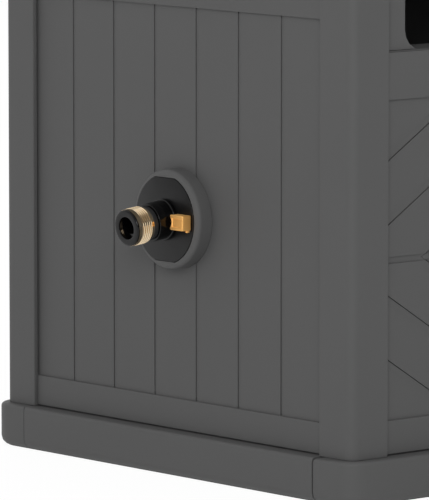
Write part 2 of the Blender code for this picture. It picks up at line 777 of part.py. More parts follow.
def flange(side, bore):
    """A drum flange: a disc with a rim, webs and a journal outside, a spigot and a hub inside."""
    disc = FLANGE_IN - FLANGE_T
    bead = FLANGE_R - FLANGE_RIM
    spigot = CORE_R - CORE_T - GAP
    barrel_end = JOURNAL_END + BEARING_L + 4 * GAP
    profile = [(JOURNAL_END, bore), (JOURNAL_END, JOURNAL_R), (barrel_end, JOURNAL_R),
               (disc, FLANGE_ROOT_R), (disc, bead), (FLANGE_IN - FLANGE_RIM_H, bead),
               (FLANGE_IN - FLANGE_RIM_H, FLANGE_R), (FLANGE_IN, FLANGE_R),
               (FLANGE_IN, spigot), (FLANGE_IN + SPIGOT_L, spigot),
               (FLANGE_IN + SPIGOT_L, spigot - SPIGOT_T), (FLANGE_IN, spigot - SPIGOT_T),
               (FLANGE_IN, JOURNAL_R), (FLANGE_IN + HUB_L, JOURNAL_R), (FLANGE_IN + HUB_L, bore)]
    inside = disc + FLANGE_T / 2
    web = [(inside, FLANGE_ROOT_R - OVER), (disc - FLANGE_WEB_H, JOURNAL_R + OVER),
           (disc - FLANGE_WEB_H / 3, bead + OVER), (inside, bead + OVER)]
    return add_webs(side_turned(side, profile, 32), side, web, FLANGE_WEBS)


def make_drum():
    """Two flanges on the ends of a hollow core; the right one has the crank shaft's socket."""
    keep(flange(LEFT, HUB_BORE_R), "left_flange", DRUM_BLACK, AXLE)
    w = SHAFT_W / 2 + GAP
    ys, zs = (AXLE_Y - w, AXLE_Y + w), (AXLE_Z - w, AXLE_Z + w)
    socket = side_block(RIGHT, (0, FLANGE_IN + SHAFT_SEAT + GAP), ys, zs)
    keep(cut(flange(RIGHT, 0), socket), "right_flange", DRUM_BLACK, AXLE)
    start = FLANGE_IN + GAP
    core = tube(CORE_R, CORE_R - CORE_T, across(LEFT, start), across(RIGHT, start), AXLE, steps=32)
    outlet = rod(CONNECTOR_R + 2 * GAP, 0, CORE_R + OVER,
                 (across(LEFT, ELBOW_PLACE), AXLE_Y, AXLE_Z), DOWNWARDS)
    keep(cut(core, outlet), "drum_core", DRUM_BLACK, AXLE)


def make_water_way():
    """The elbow inside the drum and the threaded connector that the hose is screwed to."""
    start, hub = FLANGE_IN + GAP, FLANGE_IN + HUB_L + GAP
    far = ELBOW_PLACE + ELBOW_R
    spigot = HUB_BORE_R - GAP
    corner = (across(LEFT, ELBOW_PLACE), AXLE_Y, AXLE_Z)
    foot = CORE_R - CORE_T - 2 * OVER
    profile = [(far, 0), (far, ELBOW_COLLAR_R - OVER), (far - OVER, ELBOW_COLLAR_R),
               (hub, ELBOW_COLLAR_R), (hub, spigot), (start, spigot), (start, 0)]
    elbow = join(side_turned(LEFT, profile, 16), rod(ELBOW_R, 0, foot, corner, DOWNWARDS, 16))
    elbow = cut(elbow, side_rod(LEFT, BORE_R, (start - OVER, ELBOW_PLACE), AXLE_Y, AXLE_Z, 12),
                rod(BORE_R, -BORE_R, foot + OVER, corner, DOWNWARDS, 12))
    keep(elbow, "outlet_elbow", BLACK, AXLE)
    low, high = foot + GAP, CORE_R + CONNECTOR_OUT
    edge = THREAD_EDGE
    profile = [(low, BORE_R), (low, CONNECTOR_R - edge), (low + edge, CONNECTOR_R),
               (high - edge, CONNECTOR_R), (high, CONNECTOR_R - edge), (high, BORE_R)]
    connector = turned(profile, corner, DOWNWARDS, 20)
    keep(connector, "hose_connector", BRASS, AXLE)


def make_bezels():
    """A ring on each side panel that rises towards its bore, and the black plate seated in it."""
    foot, ledge = -PLANK_SET + GAP, PLATE_OUT - PLATE_T - GAP
    flank_end = BEZEL_OUT - BEZEL_ROUND
    lip = arc((flank_end, BEZEL_R - BEZEL_ROUND), BEZEL_ROUND, 90, 0, 2)
    profile = [(foot, BEZEL_LEDGE_R), (foot, BEZEL_R)] + lip
    profile += [(BEZEL_CREST, BEZEL_BORE_R), (ledge, BEZEL_BORE_R), (ledge, BEZEL_LEDGE_R)]
    reach = math.degrees(math.asin(PLATE_FLAT / PLATE_R))
    centre = (AXLE_Y, AXLE_Z)
    rim = arc(centre, PLATE_R, -reach, reach, 10) + arc(centre, PLATE_R, 180 - reach, 180 + reach, 10)
    shaft_corner = SHAFT_W / math.sqrt(2)
    for side, word, bore in ((LEFT, "inlet", TUBE_R), (RIGHT, "crank", shaft_corner)):
        ring = side_turned(side, [(-out, radius) for out, radius in profile], 32)
        keep(ring, word + "_bezel", RESIN)
        hole = circle(centre, bore + 2 * GAP, 20)
        low, high = out_from(side, PLATE_OUT - PLATE_T), out_from(side, PLATE_OUT)
        disc = plate([rim, hole], "YZ", low, high)
        if side == LEFT:
            disc = cut(disc, clip_stem(PLATE_OUT - PLATE_T - OVER, PLATE_OUT + OVER, GAP))
        keep(disc, word + "_plate", BLACK)


def clip_stem(low, high, play):
    """The clip's stem between two distances out, or with some play the slot that it goes through."""
    half = STEM_HALF_H + play
    ys = (AXLE_Y - STEM_FAR - play, AXLE_Y - STEM_NEAR + play)
    return side_block(LEFT, (-low, -high), ys, (AXLE_Z - half, AXLE_Z + half))


def make_clip():
    """The keeper of the inlet tube: a head on the plate, a stem through it and a fork behind it."""
    y, z = AXLE_Y, AXLE_Z
    head = side_block(LEFT, (-PLATE_OUT - GAP, -PLATE_OUT - CLIP_OUT), (y - CLIP_FAR, y - CLIP_NEAR),
                      (z - CLIP_HALF_H, z + CLIP_HALF_H))
    hollow_y = y - CLIP_NEAR - CLIP_HOLLOW + CLIP_HOLLOW_R
    hollow = side_rod(LEFT, CLIP_HOLLOW_R, (0, -PLATE_OUT - 2 * CLIP_OUT), hollow_y, z, 48)
    head = cut(soften(head, THREAD_EDGE, 2), hollow)
    near = PLATE_OUT - PLATE_T - GAP
    far = near - FORK_T
    tip = [(y - STEM_FAR, z + CLIP_HALF_H), (y - STEM_FAR, z - CLIP_HALF_H)]
    lower = [(y - CLIP_HUG_R, z - FORK_HALF_W), (y + FORK_END, z - FORK_HALF_W),
             (y + FORK_END, z - FORK_R)]
    upper = [(a, 2 * z - b) for a, b in reversed(lower)]
    outline = tip + lower + arc((y, z), FORK_R, 270, 90, 12) + upper
    fork = plate([outline], "YZ", out_from(LEFT, near), out_from(LEFT, far))
    stem = clip_stem(near - FORK_T / 2, PLATE_OUT + CLIP_OUT / 2, 0)
    keep(join(head, stem, fork), "retaining_clip", YELLOW_BRASS)


def leg_axis():
    """The place and turn of the dropped leg of the inlet, with local Z along it."""
    return (out_from(LEFT, RIM_OUT), AXLE_Y, AXLE_Z), (0, -math.pi / 2 - INLET_DROP, 0)


def make_in_tube():
    """The fixed water tube: a straight leg into the drum's hub and a dropped leg outside."""
    rim, neck_out = -PLATE_OUT - GAP, PLATE_T - PLATE_OUT
    neck_in = neck_out + FORK_T + 3 * GAP
    groove_r, half = HUB_BORE_R - GAP - 2 * O_RING_R - GAP, O_RING_R + GAP
    profile = [(-RIM_OUT, 0), (-RIM_OUT, RIM_R), (rim, RIM_R), (rim, TUBE_R),
               (neck_out, TUBE_R), (neck_out, NECK_R), (neck_in, NECK_R), (neck_in, TUBE_R)]
    for place in O_RING_PLACES:
        profile += [(place - half, TUBE_R), (place - half, groove_r),
                    (place + half, groove_r), (place + half, TUBE_R)]
    profile += [(TUBE_END, TUBE_R), (TUBE_END, 0)]
    start, turn = leg_axis()
    leg = [(SPOUT_END, 0), (SPOUT_END, SPOUT_R), (COLLAR_START, SPOUT_R), (COLLAR_START, LEG_R),
           (-LEG_SUNK, LEG_R), (-LEG_SUNK, 0)]
    item = join(side_turned(LEFT, profile, 20), turned(leg, start, turn, 20))
    item = cut(item, rod(BORE_R, -OVER, NOSE_END, start, turn, 16),
               side_rod(LEFT, BORE_R, (-RIM_OUT, TUBE_END + OVER), AXLE_Y, AXLE_Z, 16))
    keep(item, "in_tube", BLACK)


def make_inlet_end():
    """The collar, threaded brass sleeve and sealing nose on the dropped leg."""
    start, turn = leg_axis()
    collar = tube(COLLAR_R, LEG_PLAY, COLLAR_START + GAP, THREAD_START - GAP, start, turn, 28)
    keep(collar, "inlet_collar", BLACK)
    edge = THREAD_EDGE
    sleeve = [(THREAD_START, LEG_PLAY), (THREAD_START, THREAD_R - edge),
              (THREAD_START + edge, THREAD_R), (THREAD_END - edge, THREAD_R),
              (THREAD_END, THREAD_R - edge), (THREAD_END, LEG_PLAY)]
    keep(turned(sleeve, start, turn, 28), "thread_sleeve", BRASS)
    foot = THREAD_END + GAP
    nose = [(foot, BORE_R), (foot, NOSE_R), (NOSE_END - NOSE_EDGE, NOSE_R),
            (NOSE_END, NOSE_R - NOSE_EDGE), (NOSE_END, BORE_R)]
    keep(turned(nose, start, turn, 28), "sealing_nose", BLACK)


def make_o_rings():
    middle = HUB_BORE_R - GAP - O_RING_R
    for place, word in zip(O_RING_PLACES, ("outer", "inner")):
        ring = side_turned(LEFT, circle((place, middle), O_RING_R, 6), 20)
        keep(ring, word + "_o_ring", RUBBER)


def make_crank_arm():
    """The crank's arm, from a hub on the shaft down to the handle's pin, with a ribbed pocket."""
    y, z, end_z = AXLE_Y, AXLE_Z, AXLE_Z - ARM_REACH
    lean = math.degrees(math.asin((ARM_HUB_R - ARM_END_R) / ARM_REACH))
    outline = arc((y, z), ARM_HUB_R, -lean, 180 + lean, 14)
    outline += arc((y, end_z), ARM_END_R, 180 + lean, 360 - lean, 12)
    near, far = out_from(RIGHT, ARM_OUT), out_from(RIGHT, ARM_OUT + ARM_T)
    arm = plate([outline], "YZ", near, far)
    top, bottom = z - ARM_HUB_R - ARM_WALL, end_z + ARM_END_R + ARM_WALL
    top_w, bottom_w = ARM_HUB_R - 2 * ARM_WALL, ARM_END_R - 1.5 * ARM_WALL
    for sign in (-1, 1):
        inner = sign * ARM_WALL / 2
        pocket = [(y + inner, top), (y + sign * top_w, top), (y + sign * bottom_w, bottom),
                  (y + inner, bottom)]
        arm = cut(arm, plate([pocket], "YZ", far - ARM_POCKET, far + OVER))
    hub_r = ARM_HUB_R - OVER
    hub = side_rod(RIGHT, hub_r, (-PLATE_OUT - 2 * GAP, -HUB_OUT + GAP), y, z, 24)
    s = SHAFT_W / 2 + GAP
    square = side_block(RIGHT, (0, -HUB_OUT - OVER), (y - s, y + s), (z - s, z + s))
    eye = rod(PIN_R + GAP, near - OVER, far + OVER, (0, y, end_z), steps=16)
    keep(cut(join(arm, hub), square, eye), "crank_arm", BLACK, AXLE)


def make_crank_shaft():
    """A square shaft from the drum's hub out to the arm, and the bolt in its outer end."""
    w = SHAFT_W / 2
    ys, zs = (AXLE_Y - w, AXLE_Y + w), (AXLE_Z - w, AXLE_Z + w)
    shaft = side_block(RIGHT, (FLANGE_IN + SHAFT_SEAT, -HUB_OUT), ys, zs)
    hole = side_rod(RIGHT, BOLT_R + GAP, (BOLT_L + GAP - HUB_OUT, -HUB_OUT - OVER), AXLE_Y, AXLE_Z, 16)
    keep(cut(shaft, hole), "crank_shaft", STEEL, AXLE)
    head, tip = HUB_OUT + GAP, HUB_OUT - BOLT_L
    top = head + BOLT_R
    bolt = [(tip, 0), (tip, BOLT_R), (head, BOLT_R), (head, BOLT_HEAD_R),
            (top - OVER, BOLT_HEAD_R), (top, BOLT_HEAD_R - OVER), (top, 0)]
    keep(side_turned(RIGHT, [(-out, r) for out, r in bolt], 20), "crank_bolt", STEEL, AXLE)


def make_handle():
    """The handle that turns on its pin at the end of the arm, and that pin with its two heads."""
    pivot = (out_from(RIGHT, ARM_OUT + ARM_T), AXLE_Y, AXLE_Z - ARM_REACH)
    start, end, bore = GAP, GAP + HANDLE_L, PIN_R + GAP
    swell = HANDLE_R - HANDLE_WAIST_R
    grip = [(start, bore), (start, HANDLE_R - HANDLE_EDGE), (start + HANDLE_EDGE, HANDLE_R)]
    for t in (0.25, 0.5, 0.75):
        radius = HANDLE_WAIST_R + swell * math.sin(math.pi * t) ** 2
        grip.append((start + HANDLE_L * t, radius))
    grip += [(end - HANDLE_EDGE, HANDLE_R), (end, HANDLE_R - HANDLE_EDGE), (end, bore)]
    keep(turned(grip, pivot, steps=20), "crank_grip", BLACK, pivot)
    inner, outer = -ARM_T - GAP, end + GAP
    pin = [(inner - PIN_HEAD_T, 0), (inner - PIN_HEAD_T, PIN_HEAD_R), (inner, PIN_HEAD_R),
           (inner, PIN_R), (outer, PIN_R), (outer, PIN_HEAD_R), (outer + PIN_HEAD_T, PIN_HEAD_R),
           (outer + PIN_HEAD_T, 0)]
    keep(turned(pin, pivot, steps=16), "grip_pin", STEEL, AXLE)


def make_guide_rods():
    """Two rods behind the rails, each end in a boss of a bracket on the side panel."""
    seat = PANEL_IN + GAP
    reach, rod_end = seat + BRACKET_REACH, seat + BRACKET_T + GAP
    heights = (EYE_Z - ROD_SPREAD, EYE_Z + ROD_SPREAD)
    ys = (ROD_Y - BRACKET_R, ROD_Y + BRACKET_R)
    zs = (heights[0] - BRACKET_R, heights[1] + BRACKET_R)
    for side, word in ((LEFT, "left"), (RIGHT, "right")):
        bracket = side_block(side, (seat, seat + BRACKET_T), ys, zs)
        for z in heights:
            bracket = join(bracket, side_rod(side, BOSS_R, (seat + OVER, reach), ROD_Y, z))
        for z in heights:
            hole = side_rod(side, ROD_R + GAP, (seat + BRACKET_T, reach + OVER), ROD_Y, z, 16)
            bracket = cut(bracket, hole)
        keep(bracket, word + "_guide_bracket", BLACK)
    for z, word in zip(heights, ("lower", "upper")):
        bar = rod(ROD_R, across(LEFT, rod_end), across(RIGHT, rod_end), (0, ROD_Y, z))
        keep(bar, word + "_guide_rod", STEEL)


def make_guide():
    """The carriage that slides on the rods, and the four rollers round its eye on their pins."""
    frame = rounded_rectangle((-GUIDE_HALF_W, EYE_Z - GUIDE_HALF_H),
                              (GUIDE_HALF_W, EYE_Z + GUIDE_HALF_H), GUIDE_ROUND)
    eye = rectangle((-EYE_HALF, EYE_Z - EYE_HALF), (EYE_HALF, EYE_Z + EYE_HALF))
    carriage = plate([frame, eye], "XZ", behind(GUIDE_FRONT), behind(GUIDE_BACK))
    for z in (EYE_Z - ROD_SPREAD, EYE_Z + ROD_SPREAD):
        hole = rod(ROD_R + GAP, -GUIDE_HALF_W - OVER, GUIDE_HALF_W + OVER, (0, ROD_Y, z), steps=16)
        carriage = cut(carriage, hole)
    end = EYE_HALF + PIN_SEAT
    at = EYE_HALF - ROLLER_R - 2 * GAP
    rollers = {
        "left": ((-at, behind(UPRIGHT_ROLLER_IN), EYE_Z), UPWARDS),
        "right": ((at, behind(UPRIGHT_ROLLER_IN), EYE_Z), UPWARDS),
        "lower": ((0, behind(LEVEL_ROLLER_IN), EYE_Z - at), ALONG_X),
        "upper": ((0, behind(LEVEL_ROLLER_IN), EYE_Z + at), ALONG_X),
    }
    for word, (place, turn) in rollers.items():
        name = word + "_guide_roller"
        carriage = cut(carriage, rod(ROLLER_PIN_R + GAP, -end, end, place, turn, 12))
        roller = tube(ROLLER_R, ROLLER_PIN_R + GAP, -EYE_HALF + GAP, EYE_HALF - GAP, place, turn, 16)
        keep(roller, name, DRUM_BLACK, place)
        keep(rod(ROLLER_PIN_R, -end + GAP, end - GAP, place, turn, 12), name + "_pin", STEEL, place)
    keep(carriage, "guide_carriage", BLACK, (0, ROD_Y, EYE_Z))


def make_all():
    make_skirts()
    make_tray()
    make_posts()
    make_side_panels()
    make_front_panel()
    make_rear_panel()
    make_window()
    make_lid()
    make_hinges()
    make_bearings()
    make_drum()
    make_water_way()
    make_bezels()
    make_clip()
    make_in_tube()
    make_inlet_end()
    make_o_rings()
    make_crank_arm()
    make_crank_shaft()
    make_handle()
    make_guide_rods()
    make_guide()


make_all()
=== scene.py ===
# %% [markdown]
# # A resin hose reel cabinet
#
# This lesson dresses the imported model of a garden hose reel. The real one is a cabinet of
# injection-moulded resin boards that clip into four corner posts and stand on a plinth. A drum on a
# crank winds the hose inside, and water comes in through a threaded tube on the left side.
#
# The CAD solids already have the right size and place, so the lesson starts from them. It gives
# every solid a finish, and puts a finer piece in place of each one whose curves or edges show: a
# cut thread, a formed clip, turned pins and rollers, soft edges. The screws are added.

# %% Load the frame
import math

import bmesh
import bpy
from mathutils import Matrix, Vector


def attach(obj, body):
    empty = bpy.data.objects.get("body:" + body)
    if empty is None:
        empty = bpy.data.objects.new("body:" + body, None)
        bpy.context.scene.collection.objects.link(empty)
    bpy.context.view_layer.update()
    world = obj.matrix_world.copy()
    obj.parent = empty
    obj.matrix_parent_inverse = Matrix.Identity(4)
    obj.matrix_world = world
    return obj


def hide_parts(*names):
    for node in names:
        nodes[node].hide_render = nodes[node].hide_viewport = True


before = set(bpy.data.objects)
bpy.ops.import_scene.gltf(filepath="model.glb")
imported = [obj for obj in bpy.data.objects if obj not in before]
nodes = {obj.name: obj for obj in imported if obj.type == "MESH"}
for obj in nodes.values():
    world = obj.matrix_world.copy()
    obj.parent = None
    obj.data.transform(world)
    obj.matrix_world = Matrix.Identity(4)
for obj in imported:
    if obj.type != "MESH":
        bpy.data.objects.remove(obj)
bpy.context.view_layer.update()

# %% [markdown]
# ## Colours and nodes
#
# Colours are written as the hex values that a colour picker shows. Blender mixes light in linear
# values, so one function turns each hex value round. A second function adds a shader node, sets its
# properties and fills or links its sockets, which keeps each material short enough to read.

# %% Colour and node helpers
def linear(hex_colour):
    """An sRGB hex value as the linear colour that Blender's shaders take."""
    values = [int(hex_colour[i:i + 2], 16) / 255 for i in (1, 3, 5)]
    return (*[v / 12.92 if v <= 0.04045 else ((v + 0.055) / 1.055) ** 2.4 for v in values], 1.0)


def add(tree, kind, inputs=(), **settings):
    """Adds a node. Each input is a value, or the socket of another node that feeds it."""
    made = tree.nodes.new(kind)
    for key, value in settings.items():
        setattr(made, key, value)
    for key, value in dict(inputs).items():
        if isinstance(value, bpy.types.NodeSocket):
            tree.links.new(value, made.inputs[key])
        else:
            made.inputs[key].default_value = value
    return made


def new_material(name):
    """An empty material, its node tree, and the Object coordinates that lay out its patterns."""
    material = bpy.data.materials.new(name)
    material.use_nodes = True
    tree = material.node_tree
    tree.nodes.clear()
    return material, tree, add(tree, "ShaderNodeTexCoord").outputs["Object"]


def surface(tree, shader):
    add(tree, "ShaderNodeOutputMaterial", {"Surface": shader.outputs[0]})


MM = 0.001


def per(size_mm):
    """The scale of a texture whose cells are this many millimetres wide."""
    return 1 / (size_mm * MM)


print("mid grey #808080 is", round(linear("#808080")[0], 3), "in linear light")

# %% [markdown]
# ## The moulded resins
#
# The cabinet is polypropylene, moulded in a tool whose steel was spark eroded. That leaves a fine,
# even grain which breaks up the shine, so the resin looks dry and matt, and only rounded edges
# catch some light. The melt also cools unevenly, which shows as very faint clouds over a hand's
# width.
#
# The same recipe serves the black resins: the drum has a coarser grain, and the nylon of the water
# fittings is polished and much smoother. So one function makes them all from a few real sizes.
#
# A pixel of the picture covers 0.7 mm, and the real grains are finer than that: about 0.3 mm from
# an eroded tool and 0.1 mm from a polished one. Each is drawn at 0.5 to 0.9 mm, so that it shows.

# %% Resin materials
RESIN_IOR = 1.49  # of polypropylene; nylon and rubber come within 0.05 of it
ROUGHNESS_SPREAD = 0.05  # either way, from the grain's tops to its hollows


def resin(name, colour, cloud, roughness, grain_mm, grain_depth_mm, specular, cloud_mm=90):
    """Moulded plastic: faint clouds in the colour, and a fine grain in the roughness and bump."""
    material, tree, place = new_material(name)
    clouds = add(tree, "ShaderNodeTexNoise",
                 {"Vector": place, "Scale": per(cloud_mm), "Detail": 3.0, "Roughness": 0.5})
    tint = add(tree, "ShaderNodeMix", {"Factor": clouds.outputs["Fac"], "A": linear(colour),
                                       "B": linear(cloud)}, data_type="RGBA")
    grain = add(tree, "ShaderNodeTexNoise",
                {"Vector": place, "Scale": per(grain_mm), "Detail": 2.0, "Roughness": 0.6})
    rough = add(tree, "ShaderNodeMapRange",
                {"Value": grain.outputs["Fac"], "To Min": roughness - ROUGHNESS_SPREAD,
                 "To Max": roughness + ROUGHNESS_SPREAD})
    bump = add(tree, "ShaderNodeBump", {"Height": grain.outputs["Fac"], "Strength": 1.0,
                                        "Distance": grain_depth_mm * MM})
    shader = add(tree, "ShaderNodeBsdfPrincipled",
                 {"Base Color": tint.outputs["Result"], "Roughness": rough.outputs["Result"],
                  "Normal": bump.outputs["Normal"], "IOR": RESIN_IOR,
                  "Specular IOR Level": specular})
    surface(tree, shader)
    return material


# polypropylene from an eroded tool: a dry, matt grey with a dull light on its round edges
CABINET = resin("eroded_polypropylene", "#585858", "#5B5B5B", 0.62, 0.8, 0.020, 0.35)
# polypropylene from a coarse tool, as hidden pieces are: a dusty black
DRUM = resin("drum_polypropylene", "#232324", "#29292A", 0.50, 0.9, 0.030, 0.4)
# nylon from a satin tool: black with a broad, soft sheen
PLATE = resin("satin_nylon", "#0E0E0F", "#111112", 0.34, 0.7, 0.010, 0.28)
# nylon from a polished tool: deep black with narrow bright lines on its edges
TUBE = resin("polished_nylon", "#050506", "#070708", 0.14, 0.6, 0.003, 0.28)
# nylon filled with glass fibre, which greys it and dulls its shine
SEAL = resin("filled_nylon", "#252526", "#2B2B2C", 0.45, 0.6, 0.008, 0.40)
# nylon that a hose or a hand rubs: dark grey and a little smoother than the cabinet
GUIDE = resin("guide_nylon", "#1A1A1B", "#1F1F20", 0.40, 0.8, 0.015, 0.4)
# moulded rubber: black and dead matt
RUBBER = resin("nitrile_rubber", "#151515", "#1B1B1B", 0.70, 0.5, 0.010, 0.3)
RESINS = (CABINET, DRUM, PLATE, TUBE, SEAL, GUIDE, RUBBER)
print("resins:", *[made.name for made in RESINS])

# %% [markdown]
# ## The metals
#
# The threaded sleeve is turned brass: bright, with patches of a browner tone. The clip is a
# yellower brass, blasted matt. Shafts, rods, pins and screws are steel with a thin zinc plating,
# which is cloudy from crystal to crystal.
#
# A metal's colour goes on the base colour with metallic at one, and the rest of the finish is in
# its roughness and a slight bump. The marks of a lathe's tool, the pits of blasting and the
# crystals of zinc are 0.1 to 0.2 mm apart, and are drawn at 0.5 to 0.7 mm, so that they show.

# %% Metal materials
METAL_SPREAD = 0.06  # of the roughness, either way


def metal(name, colour, tarnish, roughness, spangle_mm, spangle_depth_mm, tarnish_mm=6):
    """Bare or plated metal: patches of tarnish, and a fine spangle in the roughness and bump."""
    material, tree, place = new_material(name)
    patches = add(tree, "ShaderNodeTexNoise",
                  {"Vector": place, "Scale": per(tarnish_mm), "Detail": 4.0, "Roughness": 0.6})
    tint = add(tree, "ShaderNodeMix", {"Factor": patches.outputs["Fac"], "A": linear(colour),
                                       "B": linear(tarnish)}, data_type="RGBA")
    spangle = add(tree, "ShaderNodeTexNoise",
                  {"Vector": place, "Scale": per(spangle_mm), "Detail": 2.0, "Roughness": 0.5})
    rough = add(tree, "ShaderNodeMapRange",
                {"Value": spangle.outputs["Fac"], "To Min": roughness - METAL_SPREAD,
                 "To Max": roughness + METAL_SPREAD})
    bump = add(tree, "ShaderNodeBump", {"Height": spangle.outputs["Fac"], "Strength": 1.0,
                                        "Distance": spangle_depth_mm * MM})
    shader = add(tree, "ShaderNodeBsdfPrincipled",
                 {"Base Color": tint.outputs["Result"], "Roughness": rough.outputs["Result"],
                  "Normal": bump.outputs["Normal"], "Metallic": 1.0})
    surface(tree, shader)
    return material


# brass off the lathe: nearly a mirror, so its cream and brown come from what stands round it
BRASS = metal("turned_brass", "#EBDBC2", "#CDAF80", 0.16, 0.5, 0.004)
# brass blasted matt: one warm yellow tone without a reflection
CLIP = metal("blasted_brass", "#FFD188", "#F6C070", 0.68, 0.5, 0.006)
# zinc plated on steel: a cool, cloudy grey shine
ZINC = metal("zinc_plated_steel", "#B9BCC0", "#9EA1A6", 0.34, 0.7, 0.006)
print("metals:", BRASS.name, CLIP.name, ZINC.name)

# %% [markdown]
# ## A finish for every solid
#
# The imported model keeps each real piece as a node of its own, so a finish is handed out by the
# piece's name. Everything that isn't named here is cabinet resin. Pieces that are modelled again
# further down get their finish there.

# %% Hand out the finishes
FINISHES = {
    DRUM: ["left_flange", "right_flange", "drum_core"],
    PLATE: ["inlet_plate", "crank_plate", "left_bearing", "right_bearing", "crank_arm",
            "left_lid_hinge", "right_lid_hinge", "left_hinge_bracket", "right_hinge_bracket"],
    TUBE: ["in_tube", "inlet_collar", "sealing_nose", "outlet_elbow"],
    GUIDE: ["guide_carriage", "left_guide_bracket", "right_guide_bracket", "crank_grip",
            "left_guide_roller", "right_guide_roller", "lower_guide_roller", "upper_guide_roller"],
    BRASS: ["thread_sleeve", "hose_connector"],
    CLIP: ["retaining_clip"],
    ZINC: ["crank_shaft", "crank_bolt", "grip_pin", "lower_guide_rod", "upper_guide_rod",
           "left_hinge_pin", "right_hinge_pin", "left_guide_roller_pin", "right_guide_roller_pin",
           "lower_guide_roller_pin", "upper_guide_roller_pin"],
    RUBBER: ["outer_o_ring", "inner_o_ring"],
}


def dress(item, material):
    item.data.materials.clear()
    item.data.materials.append(material)


for item in nodes.values():
    dress(item, CABINET)
for material, names in FINISHES.items():
    for name in names:
        dress(nodes[name], material)
print("dressed", len(nodes), "solids in", len(FINISHES) + 1, "finishes")

# %% [markdown]
# ## Turned pieces
#
# Most of the small pieces are round. A turner cuts such a piece to an outline, and Spin does the
# same: the outline is drawn as a chain of points, its corners are rounded with a vertex bevel, and
# Spin carries it once round the axis. That is easier to change than a cylinder with many loops.
#
# Each outline is drawn in the plane of X and Z, with X as the radius and Z as the distance along
# the axis. The finished piece is then stood on its real axis and the move is applied, so its place
# is in its mesh, as it is for the solids of the frame.

# %% Select in code
SELECT_MODES = {"verts": "VERT", "edges": "EDGE", "faces": "FACE"}


def fresh():
    """Leaves nothing selected, so that an operator acts only on what is made next."""
    bpy.ops.object.select_all(action="DESELECT")


def make_active(piece):
    fresh()
    piece.select_set(True)
    bpy.context.view_layer.objects.active = piece


def edit_all():
    """Starts edit mode on the active piece, with all of it selected."""
    bpy.ops.object.mode_set(mode="EDIT")
    bpy.ops.mesh.select_all(action="SELECT")


def choose(piece, kind, test):
    """In edit mode, selects the vertices, edges or faces of a piece that pass a test."""
    bpy.ops.mesh.select_mode(type=SELECT_MODES[kind])
    bpy.ops.mesh.select_all(action="DESELECT")
    work = bmesh.from_edit_mesh(piece.data)
    for item in getattr(work, kind):
        if test(item):
            item.select_set(True)
    work.select_flush_mode()
    bmesh.update_edit_mesh(piece.data)


print("selects by", ", ".join(SELECT_MODES))

# %% Outline and spin
SPIN_STEPS = 96
SAME = 1e-6  # points nearer than this are one point


def draw_outline(name, points, rounds=(), closed=True):
    """Draws a chain of (x, z) points, closes it if asked, and rounds the (point, width) corners."""
    fresh()
    bpy.ops.mesh.primitive_plane_add(size=MM, location=(0, 0, 0))
    piece = bpy.context.object
    piece.name = piece.data.name = name
    edit_all()
    bpy.ops.mesh.merge(type="CENTER")
    bpy.ops.transform.translate(value=(points[0][0], 0, points[0][1]))
    for here, there in zip(points, points[1:]):
        step = (there[0] - here[0], 0, there[1] - here[1])
        bpy.ops.mesh.extrude_vertices_move(TRANSFORM_OT_translate={"value": step})
    ends = [Vector((x, 0, z)) for x, z in (points[0], points[-1])]
    if closed:
        choose(piece, "verts", lambda v: min((v.co - end).length for end in ends) < SAME)
        bpy.ops.mesh.edge_face_add()
    for (x, z), width in rounds:
        corner = Vector((x, 0, z))
        choose(piece, "verts", lambda v: (v.co - corner).length < SAME)
        bpy.ops.mesh.bevel(offset_type="OFFSET", offset=width, segments=4, affect="VERTICES")
    return piece


def close_up(piece):
    """In edit mode, merges doubles and turns all faces outwards, and then leaves edit mode."""
    bpy.ops.mesh.select_mode(type="VERT")
    bpy.ops.mesh.select_all(action="SELECT")
    bpy.ops.mesh.remove_doubles(threshold=SAME)
    bpy.ops.mesh.normals_make_consistent(inside=False)
    bpy.ops.object.mode_set(mode="OBJECT")


def spin(name, points, rounds=(), closed=True, steps=SPIN_STEPS):
    """An outline of (radius, height) points spun once round Z."""
    piece = draw_outline(name, points, rounds, closed)
    bpy.ops.mesh.select_all(action="SELECT")
    bpy.ops.mesh.spin(steps=steps, angle=math.tau, center=(0, 0, 0), axis=(0, 0, 1))
    close_up(piece)
    return piece


print("a spin has", SPIN_STEPS, "steps of", math.degrees(math.tau / SPIN_STEPS), "degrees")

# %% [markdown]
# ## From a shape to a finished piece
#
# A shape is made at the origin and then stood in its place. A boolean joins or cuts two shapes,
# and its modifier is applied at once, so that what shows is a plain mesh. Last, a piece gets its
# shading, its finish and the body that it moves with, and the solids that it stands for are hidden.

# %% Stand, cut and finish
def stand(piece, at, turn):
    """Puts a piece on its real axis and applies the move."""
    make_active(piece)
    piece.location = at
    piece.rotation_euler = turn
    bpy.ops.object.transform_apply(location=True, rotation=True, scale=True)
    return piece


def boolean(piece, tool, operation):
    """Cuts, joins or intersects a piece with a tool, as a modifier that is applied at once."""
    make_active(piece)
    bpy.ops.object.modifier_add(type="BOOLEAN")
    step = piece.modifiers[-1]
    step.operation, step.solver, step.object = operation, "EXACT", tool
    bpy.ops.object.modifier_apply(modifier=step.name)
    bpy.data.objects.remove(tool)
    return piece


SMOOTH_ANGLE = 35  # faces that meet at less than this shade as one curve


def finish(piece, material, body, *hidden, angle=SMOOTH_ANGLE):
    """Shades a piece smooth, gives it its finish and body, and hides the solids it stands for."""
    make_active(piece)
    bpy.ops.object.shade_smooth_by_angle(angle=math.radians(angle))
    dress(piece, material)
    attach(piece, body)
    if hidden:
        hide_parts(*hidden)
    print(piece.name, len(piece.data.polygons), "faces")


# %% [markdown]
# ## The water inlet
#
# The inlet tube comes out of the cabinet on the drum's axis and then drops a few degrees, so that
# a hose hangs from it without a kink. The tube, its collar and its sealing nose are moulded nylon,
# and the light on their small rounded edges is most of what shows of them.
#
# Each is spun from its outline. The tube is two turned pieces, one on each axis, that are joined
# before the bores are cut through both.

